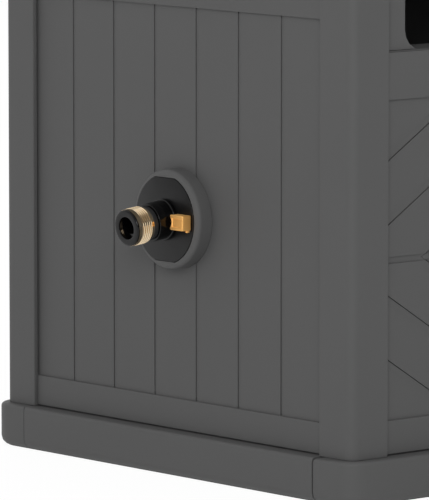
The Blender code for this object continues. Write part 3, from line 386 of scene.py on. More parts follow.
# %% Axes of the inlet
SIDE_X = 0.2845  # the post faces, from which distances along the drum's axis are counted
AXLE_Y, AXLE_Z = -0.0021, 0.1838
RIM_OUT = 0.0123  # the outer face of the tube's rim
LEFT_SIDE, RIGHT_SIDE = (-SIDE_X, AXLE_Y, AXLE_Z), (SIDE_X, AXLE_Y, AXLE_Z)
OUT_LEFT, OUT_RIGHT = (0, -math.pi / 2, 0), (0, math.pi / 2, 0)
LEG_FOOT = (-SIDE_X - RIM_OUT, AXLE_Y, AXLE_Z)
DROOP = math.radians(6.5)
LEG_TURN = (0, -math.pi / 2 - DROOP, 0)
OVER = 0.002  # how far a cutter passes the face that it cuts
BORE_R = 0.0080


def bore(radius, low, high, steps=64):
    """A plain rod to cut a round hole with."""
    middle, length = (low + high) / 2, high - low
    fresh()
    bpy.ops.mesh.primitive_cylinder_add(vertices=steps, radius=radius, depth=length,
                                        location=(0, 0, middle))
    return bpy.context.object


print("the leg drops", round(math.degrees(DROOP), 1), "degrees")

# %% Inlet tube
TUBE_R, RIM_R, RIM_BACK = 0.0128, 0.0148, 0.0092
NECK_R, NECK_OUT, NECK_IN = 0.0106, 0.0049, 0.0010
GROOVE_R, GROOVE_HALF, RING_PLACES = 0.0109, 0.0013, (-0.056, -0.063)
TUBE_FOOT = -0.070
LEG_R, LEG_END, SPOUT_R, SPOUT_END = 0.0138, 0.0121, 0.0100, 0.0282
LEG_SUNK = -0.0008  # the leg starts a little inside the rim, so that the two join
RIM_SOFT, RIM_BACK_SOFT, FOOT_SOFT, LEG_SOFT = 0.0008, 0.0004, 0.0010, 0.0005

outline = [(0, RIM_OUT), (RIM_R, RIM_OUT), (RIM_R, RIM_BACK), (TUBE_R, RIM_BACK),
           (TUBE_R, NECK_OUT), (NECK_R, NECK_OUT), (NECK_R, NECK_IN), (TUBE_R, NECK_IN)]
for ring in RING_PLACES:
    outline += [(TUBE_R, ring + GROOVE_HALF), (GROOVE_R, ring + GROOVE_HALF),
                (GROOVE_R, ring - GROOVE_HALF), (TUBE_R, ring - GROOVE_HALF)]
outline += [(TUBE_R, TUBE_FOOT), (0, TUBE_FOOT)]
soft = [((RIM_R, RIM_OUT), RIM_SOFT), ((RIM_R, RIM_BACK), RIM_BACK_SOFT),
        ((TUBE_R, TUBE_FOOT), FOOT_SOFT)]
tube = stand(spin("water_tube", outline, soft, closed=False), LEFT_SIDE, OUT_LEFT)
outline = [(0, LEG_SUNK), (LEG_R, LEG_SUNK), (LEG_R, LEG_END), (SPOUT_R, LEG_END),
           (SPOUT_R, SPOUT_END), (0, SPOUT_END)]
leg = spin("leg", outline, [((LEG_R, LEG_END), LEG_SOFT)], closed=False)
boolean(tube, stand(leg, LEG_FOOT, LEG_TURN), "UNION")
boolean(tube, stand(bore(BORE_R, -OVER, SPOUT_END + OVER), LEG_FOOT, LEG_TURN), "DIFFERENCE")
boolean(tube, stand(bore(BORE_R, TUBE_FOOT - OVER, RIM_OUT), LEFT_SIDE, OUT_LEFT), "DIFFERENCE")
finish(tube, TUBE, "cabinet", "in_tube")

# %% [markdown]
# ## Collar and nose
#
# The collar is a ring of glass-filled nylon behind the threaded sleeve, and the nose closes the
# sleeve's tip, where a hose's washer seats on it. Both could be cut from the tube's own outline. As
# separate rings they keep their fine gaps, and each has its own finish and its own soft edges.

# %% Collar and sealing nose
COLLAR_R, COLLAR_LOW, COLLAR_HIGH, COLLAR_SOFT = 0.0124, 0.0124, 0.0161, 0.0004
PLAY_R = 0.0103  # the bore of what slides over the spout
NOSE_R, NOSE_LOW, NOSE_END, NOSE_SOFT, MOUTH_SOFT = 0.0130, 0.0308, 0.0322, 0.0012, 0.0005

outline = [(PLAY_R, COLLAR_LOW), (COLLAR_R, COLLAR_LOW), (COLLAR_R, COLLAR_HIGH),
           (PLAY_R, COLLAR_HIGH)]
soft = [((COLLAR_R, COLLAR_LOW), COLLAR_SOFT), ((COLLAR_R, COLLAR_HIGH), COLLAR_SOFT)]
collar = stand(spin("grey_collar", outline, soft), LEG_FOOT, LEG_TURN)
finish(collar, SEAL, "cabinet", "inlet_collar")

outline = [(BORE_R, NOSE_LOW), (NOSE_R, NOSE_LOW), (NOSE_R, NOSE_END), (BORE_R, NOSE_END)]
soft = [((NOSE_R, NOSE_END), NOSE_SOFT), ((BORE_R, NOSE_END), MOUTH_SOFT)]
nose = stand(spin("soft_nose", outline, soft), LEG_FOOT, LEG_TURN)
finish(nose, TUBE, "cabinet", "sealing_nose")

# %% [markdown]
# ## A cut thread
#
# The three-quarter-inch pipe thread of a garden tap has fourteen turns to the inch. The lathe's
# tool leaves the shape of one turn, a slope up, a narrow crest and a slope down, and carries it up
# the sleeve. The Screw modifier does just that with an outline one turn high, and its turns meet
# when doubles are merged.
#
# The helix is then cut to length with Bisect, which also fills the cut, and trimmed by a turned
# blank with a chamfered foot, so that the thread fades in as it does on the real sleeve. A turned
# core joins its plain neck and the smooth band at the tip, on which a hose's nut starts.

# %% Helix
INCH, TURNS_TO_THE_INCH = 25.4 * MM, 14
PITCH = INCH / TURNS_TO_THE_INCH
CREST_FLAT, ROOT_FLAT = 0.16, 0.14  # of one turn


def screw_thread(name, root_r, crest_r, low, high):
    """A solid helix between two heights, with flat ends."""
    slope = (1 - CREST_FLAT - ROOT_FLAT) / 2
    start = ROOT_FLAT / 2
    turn = [(root_r, 0), (root_r, start), (crest_r, start + slope),
            (crest_r, start + slope + CREST_FLAT), (root_r, 1 - start), (root_r, 1)]
    turns = math.ceil((high - low) / PITCH) + 2
    foot = low - 1.5 * PITCH  # so the uneven ends of the helix lie outside the cuts
    piece = draw_outline(name, [(r, foot + share * PITCH) for r, share in turn], closed=False)
    bpy.ops.object.mode_set(mode="OBJECT")
    bpy.ops.object.modifier_add(type="SCREW")
    helix = piece.modifiers[-1]
    helix.axis, helix.screw_offset, helix.iterations = "Z", PITCH, turns
    helix.steps = helix.render_steps = SPIN_STEPS
    bpy.ops.object.modifier_apply(modifier=helix.name)
    bpy.ops.object.mode_set(mode="EDIT")
    bpy.ops.mesh.select_mode(type="VERT")
    bpy.ops.mesh.select_all(action="SELECT")
    bpy.ops.mesh.remove_doubles(threshold=SAME)
    for height, upper in ((low, False), (high, True)):
        bpy.ops.mesh.select_all(action="SELECT")
        bpy.ops.mesh.bisect(plane_co=(0, 0, height), plane_no=(0, 0, 1), use_fill=True,
                            threshold=SAME / 10, clear_inner=not upper, clear_outer=upper)
    close_up(piece)
    return piece


print("pitch", round(PITCH / MM, 3), "mm")

# %% Threaded sleeves
ROOT_R, THREAD_R, THREAD_EDGE = 0.0125, 0.0134, 0.0003
LAND_R, LAND_DEEP = 0.0131, 0.0005  # the plain band at the tip
CORE_R, NECK_SOFT = ROOT_R - 0.0004, 0.0004
THREAD_ANGLE = 24  # below the angle between a slope and a flat, so that the turns stay crisp


def threaded_sleeve(name, neck_r, bore_r, low, neck, high, tip):
    """A turned sleeve: a plain neck, a thread between two heights, and a plain band to the tip."""
    start, rim, rise = neck - OVER, THREAD_R + OVER, THREAD_R - CORE_R
    piece = screw_thread(name, ROOT_R, THREAD_R, start - OVER, high + OVER)
    trim = [(0, start), (CORE_R, start), (CORE_R, neck), (THREAD_R, neck + rise),
            (rim, neck + rise), (rim, high - THREAD_EDGE), (THREAD_R, high - THREAD_EDGE),
            (THREAD_R - THREAD_EDGE, high), (0, high)]
    boolean(piece, spin("trim", trim, closed=False), "INTERSECT")
    core = [(0, low), (neck_r, low), (neck_r, neck + rise / 2), (CORE_R, neck + rise / 2),
            (CORE_R, high - LAND_DEEP), (LAND_R, high - LAND_DEEP), (LAND_R, tip), (0, tip)]
    boolean(piece, spin("core", core, [((neck_r, low), NECK_SOFT)], closed=False), "UNION")
    boolean(piece, bore(bore_r, low - OVER, tip + OVER, SPIN_STEPS), "DIFFERENCE")
    edit_all()
    bpy.ops.mesh.dissolve_degenerate(threshold=SAME)
    close_up(piece)
    return piece


sleeve = threaded_sleeve("hose_thread", neck_r=0.0121, bore_r=PLAY_R, low=0.0164, neck=0.0180,
                         high=0.0278, tip=0.0307)
finish(stand(sleeve, LEG_FOOT, LEG_TURN), BRASS, "cabinet", "thread_sleeve", angle=THREAD_ANGLE)

DRUM_LEG, DOWN = (-0.1725, AXLE_Y, AXLE_Z), (math.pi, 0, 0)  # the elbow's outlet in the drum
sleeve = threaded_sleeve("drum_thread", neck_r=0.0133, bore_r=BORE_R, low=0.0508, neck=0.0640,
                         high=0.0793, tip=0.0820)
finish(stand(sleeve, DRUM_LEG, DOWN), BRASS, "reel", "hose_connector", angle=THREAD_ANGLE)

# %% [markdown]
# ## Rings and plates on the two sides
#
# A thick ring of cabinet resin stands round each side opening, with a soft outer lip and a face
# that rises a little towards its bore. A black plate with two flats is held in it. The ring is
# spun, and the plate is a cylinder that Bisect trims to the flats before its edges are bevelled. A
# wider disc of the same form cuts the ring's pocket.

# %% Discs with flats
DISC_STEPS = 160


def flatted_disc(name, radius, flat, low, high):
    """A cylinder along Z with a flat on either side of it, at a distance along X."""
    fresh()
    bpy.ops.mesh.primitive_cylinder_add(vertices=DISC_STEPS, radius=radius, depth=high - low,
                                        location=(0, 0, (low + high) / 2))
    piece = bpy.context.object
    piece.name = piece.data.name = name
    bpy.ops.object.transform_apply(location=True, rotation=False, scale=False)
    bpy.ops.object.mode_set(mode="EDIT")
    for side in (-1, 1):
        bpy.ops.mesh.select_all(action="SELECT")
        bpy.ops.mesh.bisect(plane_co=(side * flat, 0, 0), plane_no=(side, 0, 0), use_fill=True,
                            clear_outer=True, threshold=SAME / 10)
    close_up(piece)
    return piece


def bevel_edges(piece, test, width, segments=3):
    """Rounds the edges whose two ends both pass a test."""
    make_active(piece)
    bpy.ops.object.mode_set(mode="EDIT")
    choose(piece, "edges", lambda e: all(test(v.co) for v in e.verts))
    bpy.ops.mesh.bevel(offset_type="OFFSET", offset=width, segments=segments, affect="EDGES")
    close_up(piece)


print("a disc has", DISC_STEPS, "corners before its flats")

# %% Side rings
RING_FOOT, RING_LEDGE, RING_LIP, RING_CREST = -0.0047, 0.0046, 0.0064, 0.0085
LEDGE_R, POCKET_R, CREST_R, RING_R = 0.0270, 0.0317, 0.0320, 0.0358
LIP_SOFT, POCKET_FLAT, POCKET_EDGE, RING_STEPS = 0.0019, 0.0299, 0.00025, 128


def side_ring(name, side, turn):
    """A ring with a soft outer lip and a pocket with two flats, stood on one side."""
    outline = [(LEDGE_R, RING_FOOT), (RING_R, RING_FOOT), (RING_R, RING_LIP),
               (CREST_R, RING_CREST), (LEDGE_R, RING_CREST)]
    piece = spin(name, outline, [((RING_R, RING_LIP), LIP_SOFT)], steps=RING_STEPS)
    pocket = flatted_disc("pocket", POCKET_R, POCKET_FLAT, RING_LEDGE, RING_CREST + OVER)
    boolean(piece, pocket, "DIFFERENCE")
    bevel_edges(piece, lambda p: p.z > RING_CREST - SAME and p.xy.length < POCKET_R + SAME,
                POCKET_EDGE)
    return stand(piece, side, turn)


finish(side_ring("inlet_ring", LEFT_SIDE, OUT_LEFT), CABINET, "cabinet", "inlet_bezel")
finish(side_ring("crank_ring", RIGHT_SIDE, OUT_RIGHT), CABINET, "cabinet", "crank_bezel")

# %% Side plates
PLATE_R, PLATE_FLAT, PLATE_BACK, PLATE_FACE, PLATE_EDGE = 0.0314, 0.0296, 0.0049, 0.0089, 0.0004
CLIP_SLOT, CLIP_SLOT_Y = (0.0200, 0.0078, 0.0068), -0.0224
TUBE_HOLE_R, SHAFT_HOLE_R = 0.0134, 0.0105


def side_plate(name, hole_r, side, turn):
    """A round plate with two flats and a hole, stood on one side."""
    piece = flatted_disc(name, PLATE_R, PLATE_FLAT, PLATE_BACK, PLATE_FACE)
    bevel_edges(piece, lambda p: p.z > PLATE_FACE - SAME, PLATE_EDGE)
    boolean(piece, bore(hole_r, PLATE_BACK - OVER, PLATE_FACE + OVER, SPIN_STEPS), "DIFFERENCE")
    return stand(piece, side, turn)


def box(name, middle, size):
    """A block, with its place and size applied."""
    fresh()
    bpy.ops.mesh.primitive_cube_add(size=1, location=middle, scale=size)
    piece = bpy.context.object
    piece.name = piece.data.name = name
    bpy.ops.object.transform_apply(location=True, rotation=True, scale=True)
    return piece


disc = side_plate("inlet_disc", TUBE_HOLE_R, LEFT_SIDE, OUT_LEFT)
boolean(disc, box("slot", (-SIDE_X, AXLE_Y + CLIP_SLOT_Y, AXLE_Z), CLIP_SLOT), "DIFFERENCE")
finish(disc, PLATE, "cabinet", "inlet_plate")
disc = side_plate("crank_disc", SHAFT_HOLE_R, RIGHT_SIDE, OUT_RIGHT)
finish(disc, PLATE, "cabinet", "crank_plate")

# %% [markdown]
# ## The retaining clip
#
# A small brass clip locks the inlet tube: its fork grips a neck of the tube behind the plate, and
# its head stands in front. The head has two ears that reach towards the tube, a dished face that a
# thumb pushes on, and a short rib under it.
#
# The head is a cube with bevelled edges, whose outer face is inset and pushed in. A rod cuts the
# hollow between the ears. The fork is a flat outline that is filled and extruded.

# %% Clip head
HEAD_IN, HEAD_OUT = 0.0092, 0.0173
HEAD_NEAR, HEAD_FAR, HEAD_HALF, HEAD_SOFT = 0.0155, 0.0295, 0.0054, 0.0008
DISH_RIM, DISH_DEPTH = 0.0012, 0.0007
SQUARE, HEAD_AREA = 0.999, 1e-5  # a face that looks straight along an axis, and a large one
HOLLOW_R, HOLLOW_AT = 0.0051, (-SIDE_X, AXLE_Y - 0.0125, AXLE_Z)
RIB_SIZE, RIB_OUT, RIB_Y, RIB_SOFT = (0.0024, 0.0022, 0.0030), 0.0116, -0.0282, 0.0004

middle_y, length = AXLE_Y - (HEAD_NEAR + HEAD_FAR) / 2, HEAD_FAR - HEAD_NEAR
clip = box("formed_clip", (-SIDE_X - (HEAD_IN + HEAD_OUT) / 2, middle_y, AXLE_Z),
           (HEAD_OUT - HEAD_IN, length, 2 * HEAD_HALF))
edit_all()
bpy.ops.mesh.bevel(offset_type="OFFSET", offset=HEAD_SOFT, segments=3, affect="EDGES")
choose(clip, "faces", lambda f: f.normal.x < -SQUARE and f.calc_area() > HEAD_AREA)
bpy.ops.mesh.inset(thickness=DISH_RIM, depth=0)
bpy.ops.mesh.inset(thickness=DISH_DEPTH, depth=-DISH_DEPTH)
close_up(clip)
boolean(clip, stand(bore(HOLLOW_R, 0, 2 * HEAD_OUT), HOLLOW_AT, OUT_LEFT), "DIFFERENCE")
rib = box("rib", (-SIDE_X - RIB_OUT, AXLE_Y + RIB_Y, AXLE_Z - HEAD_HALF), RIB_SIZE)
edit_all()
bpy.ops.mesh.bevel(offset_type="OFFSET", offset=RIB_SOFT, segments=2, affect="EDGES")
close_up(rib)
boolean(clip, rib, "UNION")
print("head", round(length / MM, 1), "mm long")

# %% Clip stem and fork
STEM_SIZE, STEM_OUT = (0.0100, 0.0072, 0.0062), 0.0078
FORK_LOW, FORK_HIGH, FORK_R, FORK_HALF = 0.0016, 0.0046, 0.0109, 0.0150
FORK_TIP, FORK_SHOULDER, FORK_END = -0.0260, -0.0175, 0.0120


def slab(name, points, depth):
    """A flat outline in the plane of X and Z, filled and extruded along Y."""
    piece = draw_outline(name, points)
    bpy.ops.mesh.select_all(action="SELECT")
    bpy.ops.mesh.edge_face_add()
    bpy.ops.mesh.extrude_region_move(TRANSFORM_OT_translate={"value": (0, depth, 0)})
    close_up(piece)
    return piece


def arc(radius, start, end, steps):
    """Points on a circle round the middle, between two angles in degrees."""
    turns = [math.radians(start + (end - start) * k / steps) for k in range(steps + 1)]
    return [(radius * math.cos(a), radius * math.sin(a)) for a in turns]


stem = box("stem", (-SIDE_X - STEM_OUT, AXLE_Y + CLIP_SLOT_Y, AXLE_Z), STEM_SIZE)
boolean(clip, stem, "UNION")
lower = [(FORK_TIP, HEAD_HALF), (FORK_TIP, -HEAD_HALF), (FORK_SHOULDER, -FORK_HALF),
         (FORK_END, -FORK_HALF), (FORK_END, -FORK_R)]
upper = [(FORK_END, FORK_R), (FORK_END, FORK_HALF), (FORK_SHOULDER, FORK_HALF)]
fork = slab("fork", lower + arc(FORK_R, 270, 90, 32) + upper, FORK_HIGH - FORK_LOW)
fork = stand(fork, (-SIDE_X - FORK_LOW, AXLE_Y, AXLE_Z), (0, 0, math.pi / 2))
boolean(clip, fork, "UNION")
finish(clip, CLIP, "cabinet", "retaining_clip")

# %% [markdown]
# ## The crank
#
# A hexagon bolt with a washer face under its head holds the crank's arm on the square shaft. Its
# head is a six-sided cylinder, and a turned blank trims its corners to the cone of a real bolt. The
# grip is spun from a wave, so that a hand finds its middle.

# %% Crank bolt
BOLT_TIP, BOLT_R, WASHER_LOW, WASHER_TOP, WASHER_R = 0.0130, 0.0037, 0.0293, 0.0304, 0.0104
TIP_SOFT, WASHER_SOFT = 0.0006, 0.0005
HEX_R, HEX_TOP, HEX_CONE = 0.0075, 0.0343, 0.0062
BOLT_ANGLE = 30

outline = [(0, BOLT_TIP), (BOLT_R, BOLT_TIP), (BOLT_R, WASHER_LOW), (WASHER_R, WASHER_LOW),
           (WASHER_R, WASHER_TOP), (0, WASHER_TOP)]
soft = [((BOLT_R, BOLT_TIP), TIP_SOFT), ((WASHER_R, WASHER_TOP), WASHER_SOFT)]
bolt = spin("hex_bolt", outline, soft, closed=False)
head = bore(HEX_R, WASHER_TOP - OVER / 4, HEX_TOP, steps=6)
bpy.ops.object.transform_apply(location=True, rotation=False, scale=False)
trim = [(0, WASHER_LOW), (2 * HEX_CONE, WASHER_LOW), (2 * HEX_CONE, HEX_TOP - HEX_CONE / 2),
        (HEX_CONE, HEX_TOP), (0, HEX_TOP)]
boolean(head, spin("trim", trim, closed=False), "INTERSECT")
boolean(bolt, head, "UNION")
finish(stand(bolt, RIGHT_SIDE, OUT_RIGHT), ZINC, "reel", "crank_bolt", angle=BOLT_ANGLE)

# %% Hand grip
ARM_FACE, ARM_REACH = 0.0220, 0.1180
GRIP_LOW, GRIP_HIGH, GRIP_BORE, GRIP_R, GRIP_DIP = 0.0003, 0.0783, 0.0043, 0.0150, 0.0011
GRIP_WAVES, GRIP_POINTS, GRIP_SOFT = 2, 36, 0.0016
GRIP_AT = (SIDE_X + ARM_FACE, AXLE_Y, AXLE_Z - ARM_REACH)

outline = [(GRIP_BORE, GRIP_LOW)]
for k in range(GRIP_POINTS + 1):
    share = k / GRIP_POINTS
    wave = (1 - math.cos(math.tau * GRIP_WAVES * share)) / 2
    outline.append((GRIP_R - GRIP_DIP * wave, GRIP_LOW + (GRIP_HIGH - GRIP_LOW) * share))
outline.append((GRIP_BORE, GRIP_HIGH))
soft = [(outline[1], GRIP_SOFT), (outline[-2], GRIP_SOFT)]
grip = stand(spin("hand_grip", outline, soft), GRIP_AT, OUT_RIGHT)
finish(grip, GUIDE, "handle", "crank_grip")
print("grip", round((GRIP_HIGH - GRIP_LOW) / MM, 1), "mm long")

# %% [markdown]
# ## Rods and pins
#
# The guide's carriage slides on two drawn steel rods, and the lid turns on two pins. The ends of a
# rod or pin are rounded off, so that it starts easily in its hole. A cylinder with bevelled ends
# would look the same. The outline is used here too, because its corners take exact widths.

# %% Rods and hinge pins
ALONG_X, UPRIGHT = (0, math.pi / 2, 0), (0, 0, 0)
ROUND_STEPS = 48
ROD_R, ROD_HALF, ROD_SOFT = 0.0050, 0.2684, 0.0006
ROD_Y, ROD_ZS = -0.1395, {"lower": 0.30425, "upper": 0.40625}
HINGE_PIN_R, HINGE_PIN_HALF, PIN_SOFT = 0.0022, 0.0180, 0.0004
HINGE_AXIS, HINGE_X = (0.1991, 0.42415), 0.190


def bar(node, radius, half, edge, body, at, turn):
    """A round bar with rounded ends, in place of a solid of the frame."""
    outline = [(0, -half), (radius, -half), (radius, half), (0, half)]
    piece = spin("turned_" + node, outline, [((radius, -half), edge), ((radius, half), edge)],
                 closed=False, steps=ROUND_STEPS)
    finish(stand(piece, at, turn), ZINC, body, node)


for word, z in ROD_ZS.items():
    bar(word + "_guide_rod", ROD_R, ROD_HALF, ROD_SOFT, "cabinet", (0, ROD_Y, z), ALONG_X)
for word, side in (("left", -1), ("right", 1)):
    bar(word + "_hinge_pin", HINGE_PIN_R, HINGE_PIN_HALF, PIN_SOFT, "cabinet",
        (side * HINGE_X, *HINGE_AXIS), ALONG_X)
print("rods", round(2 * ROD_HALF / MM, 1), "mm long")

# %% [markdown]
# ## Guide rollers
#
# Four nylon rollers stand round the hose where it leaves the cabinet, each on its own steel pin.
# Their rims are well rounded, so that they don't mark the hose. A roller and its pin share one axis
# and one place, so a short table holds both.

# %% Rollers and their pins
ROLLER_R, ROLLER_BORE, ROLLER_HALF, ROLLER_SOFT = 0.0060, 0.0023, 0.0247, 0.0012
PIN_R, PIN_HALF = 0.0020, 0.0287
ROLLERS = {"left": ((-0.0184, -0.1465, 0.35525), UPRIGHT),
           "right": ((0.0184, -0.1465, 0.35525), UPRIGHT),
           "lower": ((0, -0.1325, 0.33685), ALONG_X),
           "upper": ((0, -0.1325, 0.37365), ALONG_X)}

for word, (at, turn) in ROLLERS.items():
    node = word + "_guide_roller"
    bar(node + "_pin", PIN_R, PIN_HALF, PIN_SOFT, "guide", at, turn)
    outline = [(ROLLER_BORE, -ROLLER_HALF), (ROLLER_R, -ROLLER_HALF), (ROLLER_R, ROLLER_HALF),
               (ROLLER_BORE, ROLLER_HALF)]
    soft = [(outline[1], ROLLER_SOFT), (outline[2], ROLLER_SOFT)]
    roller = spin("turned_" + node, outline, soft, steps=ROUND_STEPS)
    finish(stand(roller, at, turn), GUIDE, word + "_roller", node)
print(len(ROLLERS), "rollers of", round(2 * ROLLER_R / MM, 1), "mm")

# %% [markdown]
# ## The grip's pin and the O-rings
#
# The pin that the grip turns on is a rivet with a head at either end, the outer one domed. The
# O-rings sit in the two grooves of the inlet tube. Each has a round section, so its outline is a
# circle that stands off the axis. A torus would do as well, and the spun circle takes its place
# from the groove's own values.

# %% Grip pin
RIVET_R, RIVET_HEAD_R, RIVET_LOW, RIVET_HIGH, HEAD_T = 0.0040, 0.0080, -0.0133, 0.0816, 0.0030
RIVET_SOFT, RIVET_DOME, RIVET_STEPS = 0.0010, 0.0022, 64

outline = [(0, RIVET_LOW), (RIVET_HEAD_R, RIVET_LOW), (RIVET_HEAD_R, RIVET_LOW + HEAD_T),
           (RIVET_R, RIVET_LOW + HEAD_T), (RIVET_R, RIVET_HIGH - HEAD_T),
           (RIVET_HEAD_R, RIVET_HIGH - HEAD_T), (RIVET_HEAD_R, RIVET_HIGH), (0, RIVET_HIGH)]
soft = [(outline[1], RIVET_SOFT), (outline[-2], RIVET_DOME)]
rivet = spin("turned_grip_pin", outline, soft, closed=False, steps=RIVET_STEPS)
finish(stand(rivet, GRIP_AT, OUT_RIGHT), ZINC, "reel", "grip_pin")
print("pin", round((RIVET_HIGH - RIVET_LOW) / MM, 1), "mm long")

# %% O-rings
CORD_R, CORD_AT = 0.0010, 0.01207  # an O-ring's section, and its middle's distance from the axis
CORD_STEPS = 24

last = 360 - 360 / CORD_STEPS
for word, ring in zip(("outer", "inner"), RING_PLACES):
    outline = [(CORD_AT + r, z) for r, z in arc(CORD_R, 0, last, CORD_STEPS - 1)]
    seal = spin("turned_%s_o_ring" % word, outline)
    finish(stand(seal, (-SIDE_X - ring, AXLE_Y, AXLE_Z), OUT_LEFT), RUBBER, "cabinet",
           word + "_o_ring")
print("O-rings", round(2 * (CORD_AT + CORD_R) / MM, 2), "mm across")

# %% [markdown]
# ## Screws
#
# Small pan-head screws hold the hinges, the guide's brackets and the bearings. One is modelled: a
# turned head on a short shank, with a cross recess cut by two crossed, tapered blocks. The others
# are copies that have a mesh of their own.

# %% One screw
SCREW_R, SCREW_H, SHANK_R, SHANK_L, SCREW_DOME = 0.0031, 0.0019, 0.0014, 0.0015, 0.0012
RECESS, RECESS_TAPER = (0.0034, 0.0008, 0.0024), 0.45
SCREW_STEPS = 32


def pan_screw(name):
    """A pan head with a cross recess, on a short shank along Z."""
    outline = [(0, -SHANK_L), (SHANK_R, -SHANK_L), (SHANK_R, 0), (SCREW_R, 0), (SCREW_R, SCREW_H),
               (0, SCREW_H)]
    piece = spin(name, outline, [((SCREW_R, SCREW_H), SCREW_DOME)], closed=False,
                 steps=SCREW_STEPS)
    for size in (RECESS, (RECESS[1], RECESS[0], RECESS[2])):
        blade = box("blade", (0, 0, SCREW_H), size)
        bpy.ops.object.mode_set(mode="EDIT")
        choose(blade, "faces", lambda f: f.normal.z < -SQUARE)
        bpy.ops.transform.resize(value=(RECESS_TAPER, RECESS_TAPER, 1))
        close_up(blade)
        boolean(piece, blade, "DIFFERENCE")
    return piece


first = pan_screw("screw_pattern")
print("head", round(2 * SCREW_R / MM, 1), "mm across")

# %% Screws in their places
TO_REAR = (-math.pi / 2, 0, 0)
BRACKET_LEAF_Y, LID_LEAF_Y = 0.1906, 0.1968
BRACKET_SCREW_X, BRACKET_SCREW_Z, LID_SCREW_Z = 0.0115, 0.4020, 0.4415
INNER_FACE, GUIDE_ZS = 0.2687, (0.3310, 0.3795)
BEARING_SCREW_R, BEARING_SCREWS, FIRST_SCREW = 0.0455, 3, 0.25  # the first, in turns


def bearing_places(side):
    """Points between the webs on the base of a bearing."""
    for k in range(BEARING_SCREWS):
        a = math.tau * (k / BEARING_SCREWS + FIRST_SCREW)
        yield (side * INNER_FACE, AXLE_Y + BEARING_SCREW_R * math.cos(a),
               AXLE_Z + BEARING_SCREW_R * math.sin(a))


places = []
for side, inwards in ((-1, OUT_RIGHT), (1, OUT_LEFT)):
    for x in (-BRACKET_SCREW_X, BRACKET_SCREW_X):
        places.append(("cabinet", (side * HINGE_X + x, BRACKET_LEAF_Y, BRACKET_SCREW_Z), TO_REAR))
    places.append(("lid", (side * HINGE_X, LID_LEAF_Y, LID_SCREW_Z), TO_REAR))
    for z in GUIDE_ZS:
        places.append(("cabinet", (side * INNER_FACE, ROD_Y, z), inwards))
    for place in bearing_places(side):
        places.append(("cabinet", place, inwards))
for number, (body, place, turn) in enumerate(places, 1):
    screw = first.copy()
    screw.data = first.data.copy()
    screw.name = screw.data.name = "pan_screw_%02d" % number
    bpy.context.scene.collection.objects.link(screw)
    finish(stand(screw, place, turn), ZINC, body)
bpy.data.objects.remove(first)
print(len(places), "screws")

# %% [markdown]
# ## Smooth copies of the rounded solids
#
# The frame's solids are loose triangles, so each facet of a round corner shades flat. Their shapes
# are right, but the eye wants the curve. A copy has its doubles merged, is shaded smooth where
# faces meet at a small angle, and gets weighted normals, which keep the large flat faces flat and
# leave the turn to the narrow ones.
#
# A mould can't give a knife-sharp edge. On the black mouldings that hold and carry things, every
# outer edge is also rounded by 0.4 mm, and catches a thin line of light. Limited Dissolve first
# joins the triangles of each flat face, so that the bevel meets only real edges.

# %% Copy and soften
MERGE, FLAT, SHARP, MOULD_EDGE = SAME * 5, math.radians(0.5), math.radians(50), 0.0004


def merged_copy(node):
    """A copy of a solid with its own mesh and merged doubles, active and in edit mode."""
    copy = nodes[node].copy()
    copy.data = nodes[node].data.copy()
    copy.name = copy.data.name = "smooth_" + node
    copy.parent = None
    for key in list(copy.keys()):
        del copy[key]
    bpy.context.scene.collection.objects.link(copy)
    make_active(copy)
    bpy.ops.mesh.customdata_custom_splitnormals_clear()
    edit_all()
    bpy.ops.mesh.remove_doubles(threshold=MERGE)
    return copy


def soften(piece):
    """In edit mode, rounds the outward edges of a moulding."""
    bpy.ops.mesh.dissolve_limited(angle_limit=FLAT)
    choose(piece, "edges",
           lambda e: len(e.link_faces) == 2 and e.calc_face_angle_signed() > SHARP)
    bpy.ops.mesh.bevel(offset_type="OFFSET", offset=MOULD_EDGE, segments=2, affect="EDGES",
                       clamp_overlap=True)
    bpy.ops.mesh.select_all(action="SELECT")
    bpy.ops.mesh.remove_doubles(threshold=SAME)
    bpy.ops.mesh.dissolve_degenerate(threshold=SAME)


print("edges over", round(math.degrees(SHARP)), "degrees get", MOULD_EDGE / MM, "mm")

# %% Smooth the rounded solids
ROUNDED = {
    "cabinet": ["front_skirt", "rear_skirt", "left_skirt", "right_skirt", "front_left_post",
                "front_right_post", "rear_left_post", "rear_right_post", "window_frame",
                "left_hinge_bracket", "right_hinge_bracket", "left_bearing", "right_bearing",
                "left_guide_bracket", "right_guide_bracket"],
    "lid": ["lid", "left_lid_hinge", "right_lid_hinge"],
    "reel": ["left_flange", "right_flange", "drum_core", "outlet_elbow", "crank_arm"],
    "guide": ["guide_carriage"],
}
MOULDED = ["guide_carriage", "crank_arm", "left_guide_bracket", "right_guide_bracket",
           "left_bearing", "right_bearing"]
for body, names in ROUNDED.items():
    for name in names:
        copy = merged_copy(name)
        if name in MOULDED:
            soften(copy)
        bpy.ops.object.mode_set(mode="OBJECT")
        bpy.ops.object.shade_smooth_by_angle(angle=math.radians(SMOOTH_ANGLE))
        bpy.ops.object.modifier_add(type="WEIGHTED_NORMAL")
        copy.modifiers[-1].keep_sharp = True
        bpy.ops.object.modifier_apply(modifier=copy.modifiers[-1].name)
        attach(copy, body)
        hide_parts(name)
print("smoothed", sum(len(names) for names in ROUNDED.values()), "solids")

# %% [markdown]
# ## The floor
#
# The cabinet stands on a plain pale floor. It is a real surface that takes the cabinet's shadow,
# and it could be lit until it turned white, but then the cabinet would be too bright. Instead, the
# camera sees most of it as plain white, as a photographer's sweep is, and a little of its lit paint
# with the shadow. Mirror and glass rays see the same, so that the brass shows that floor too. Light
# that falls on the cabinet from below still comes from the paint.

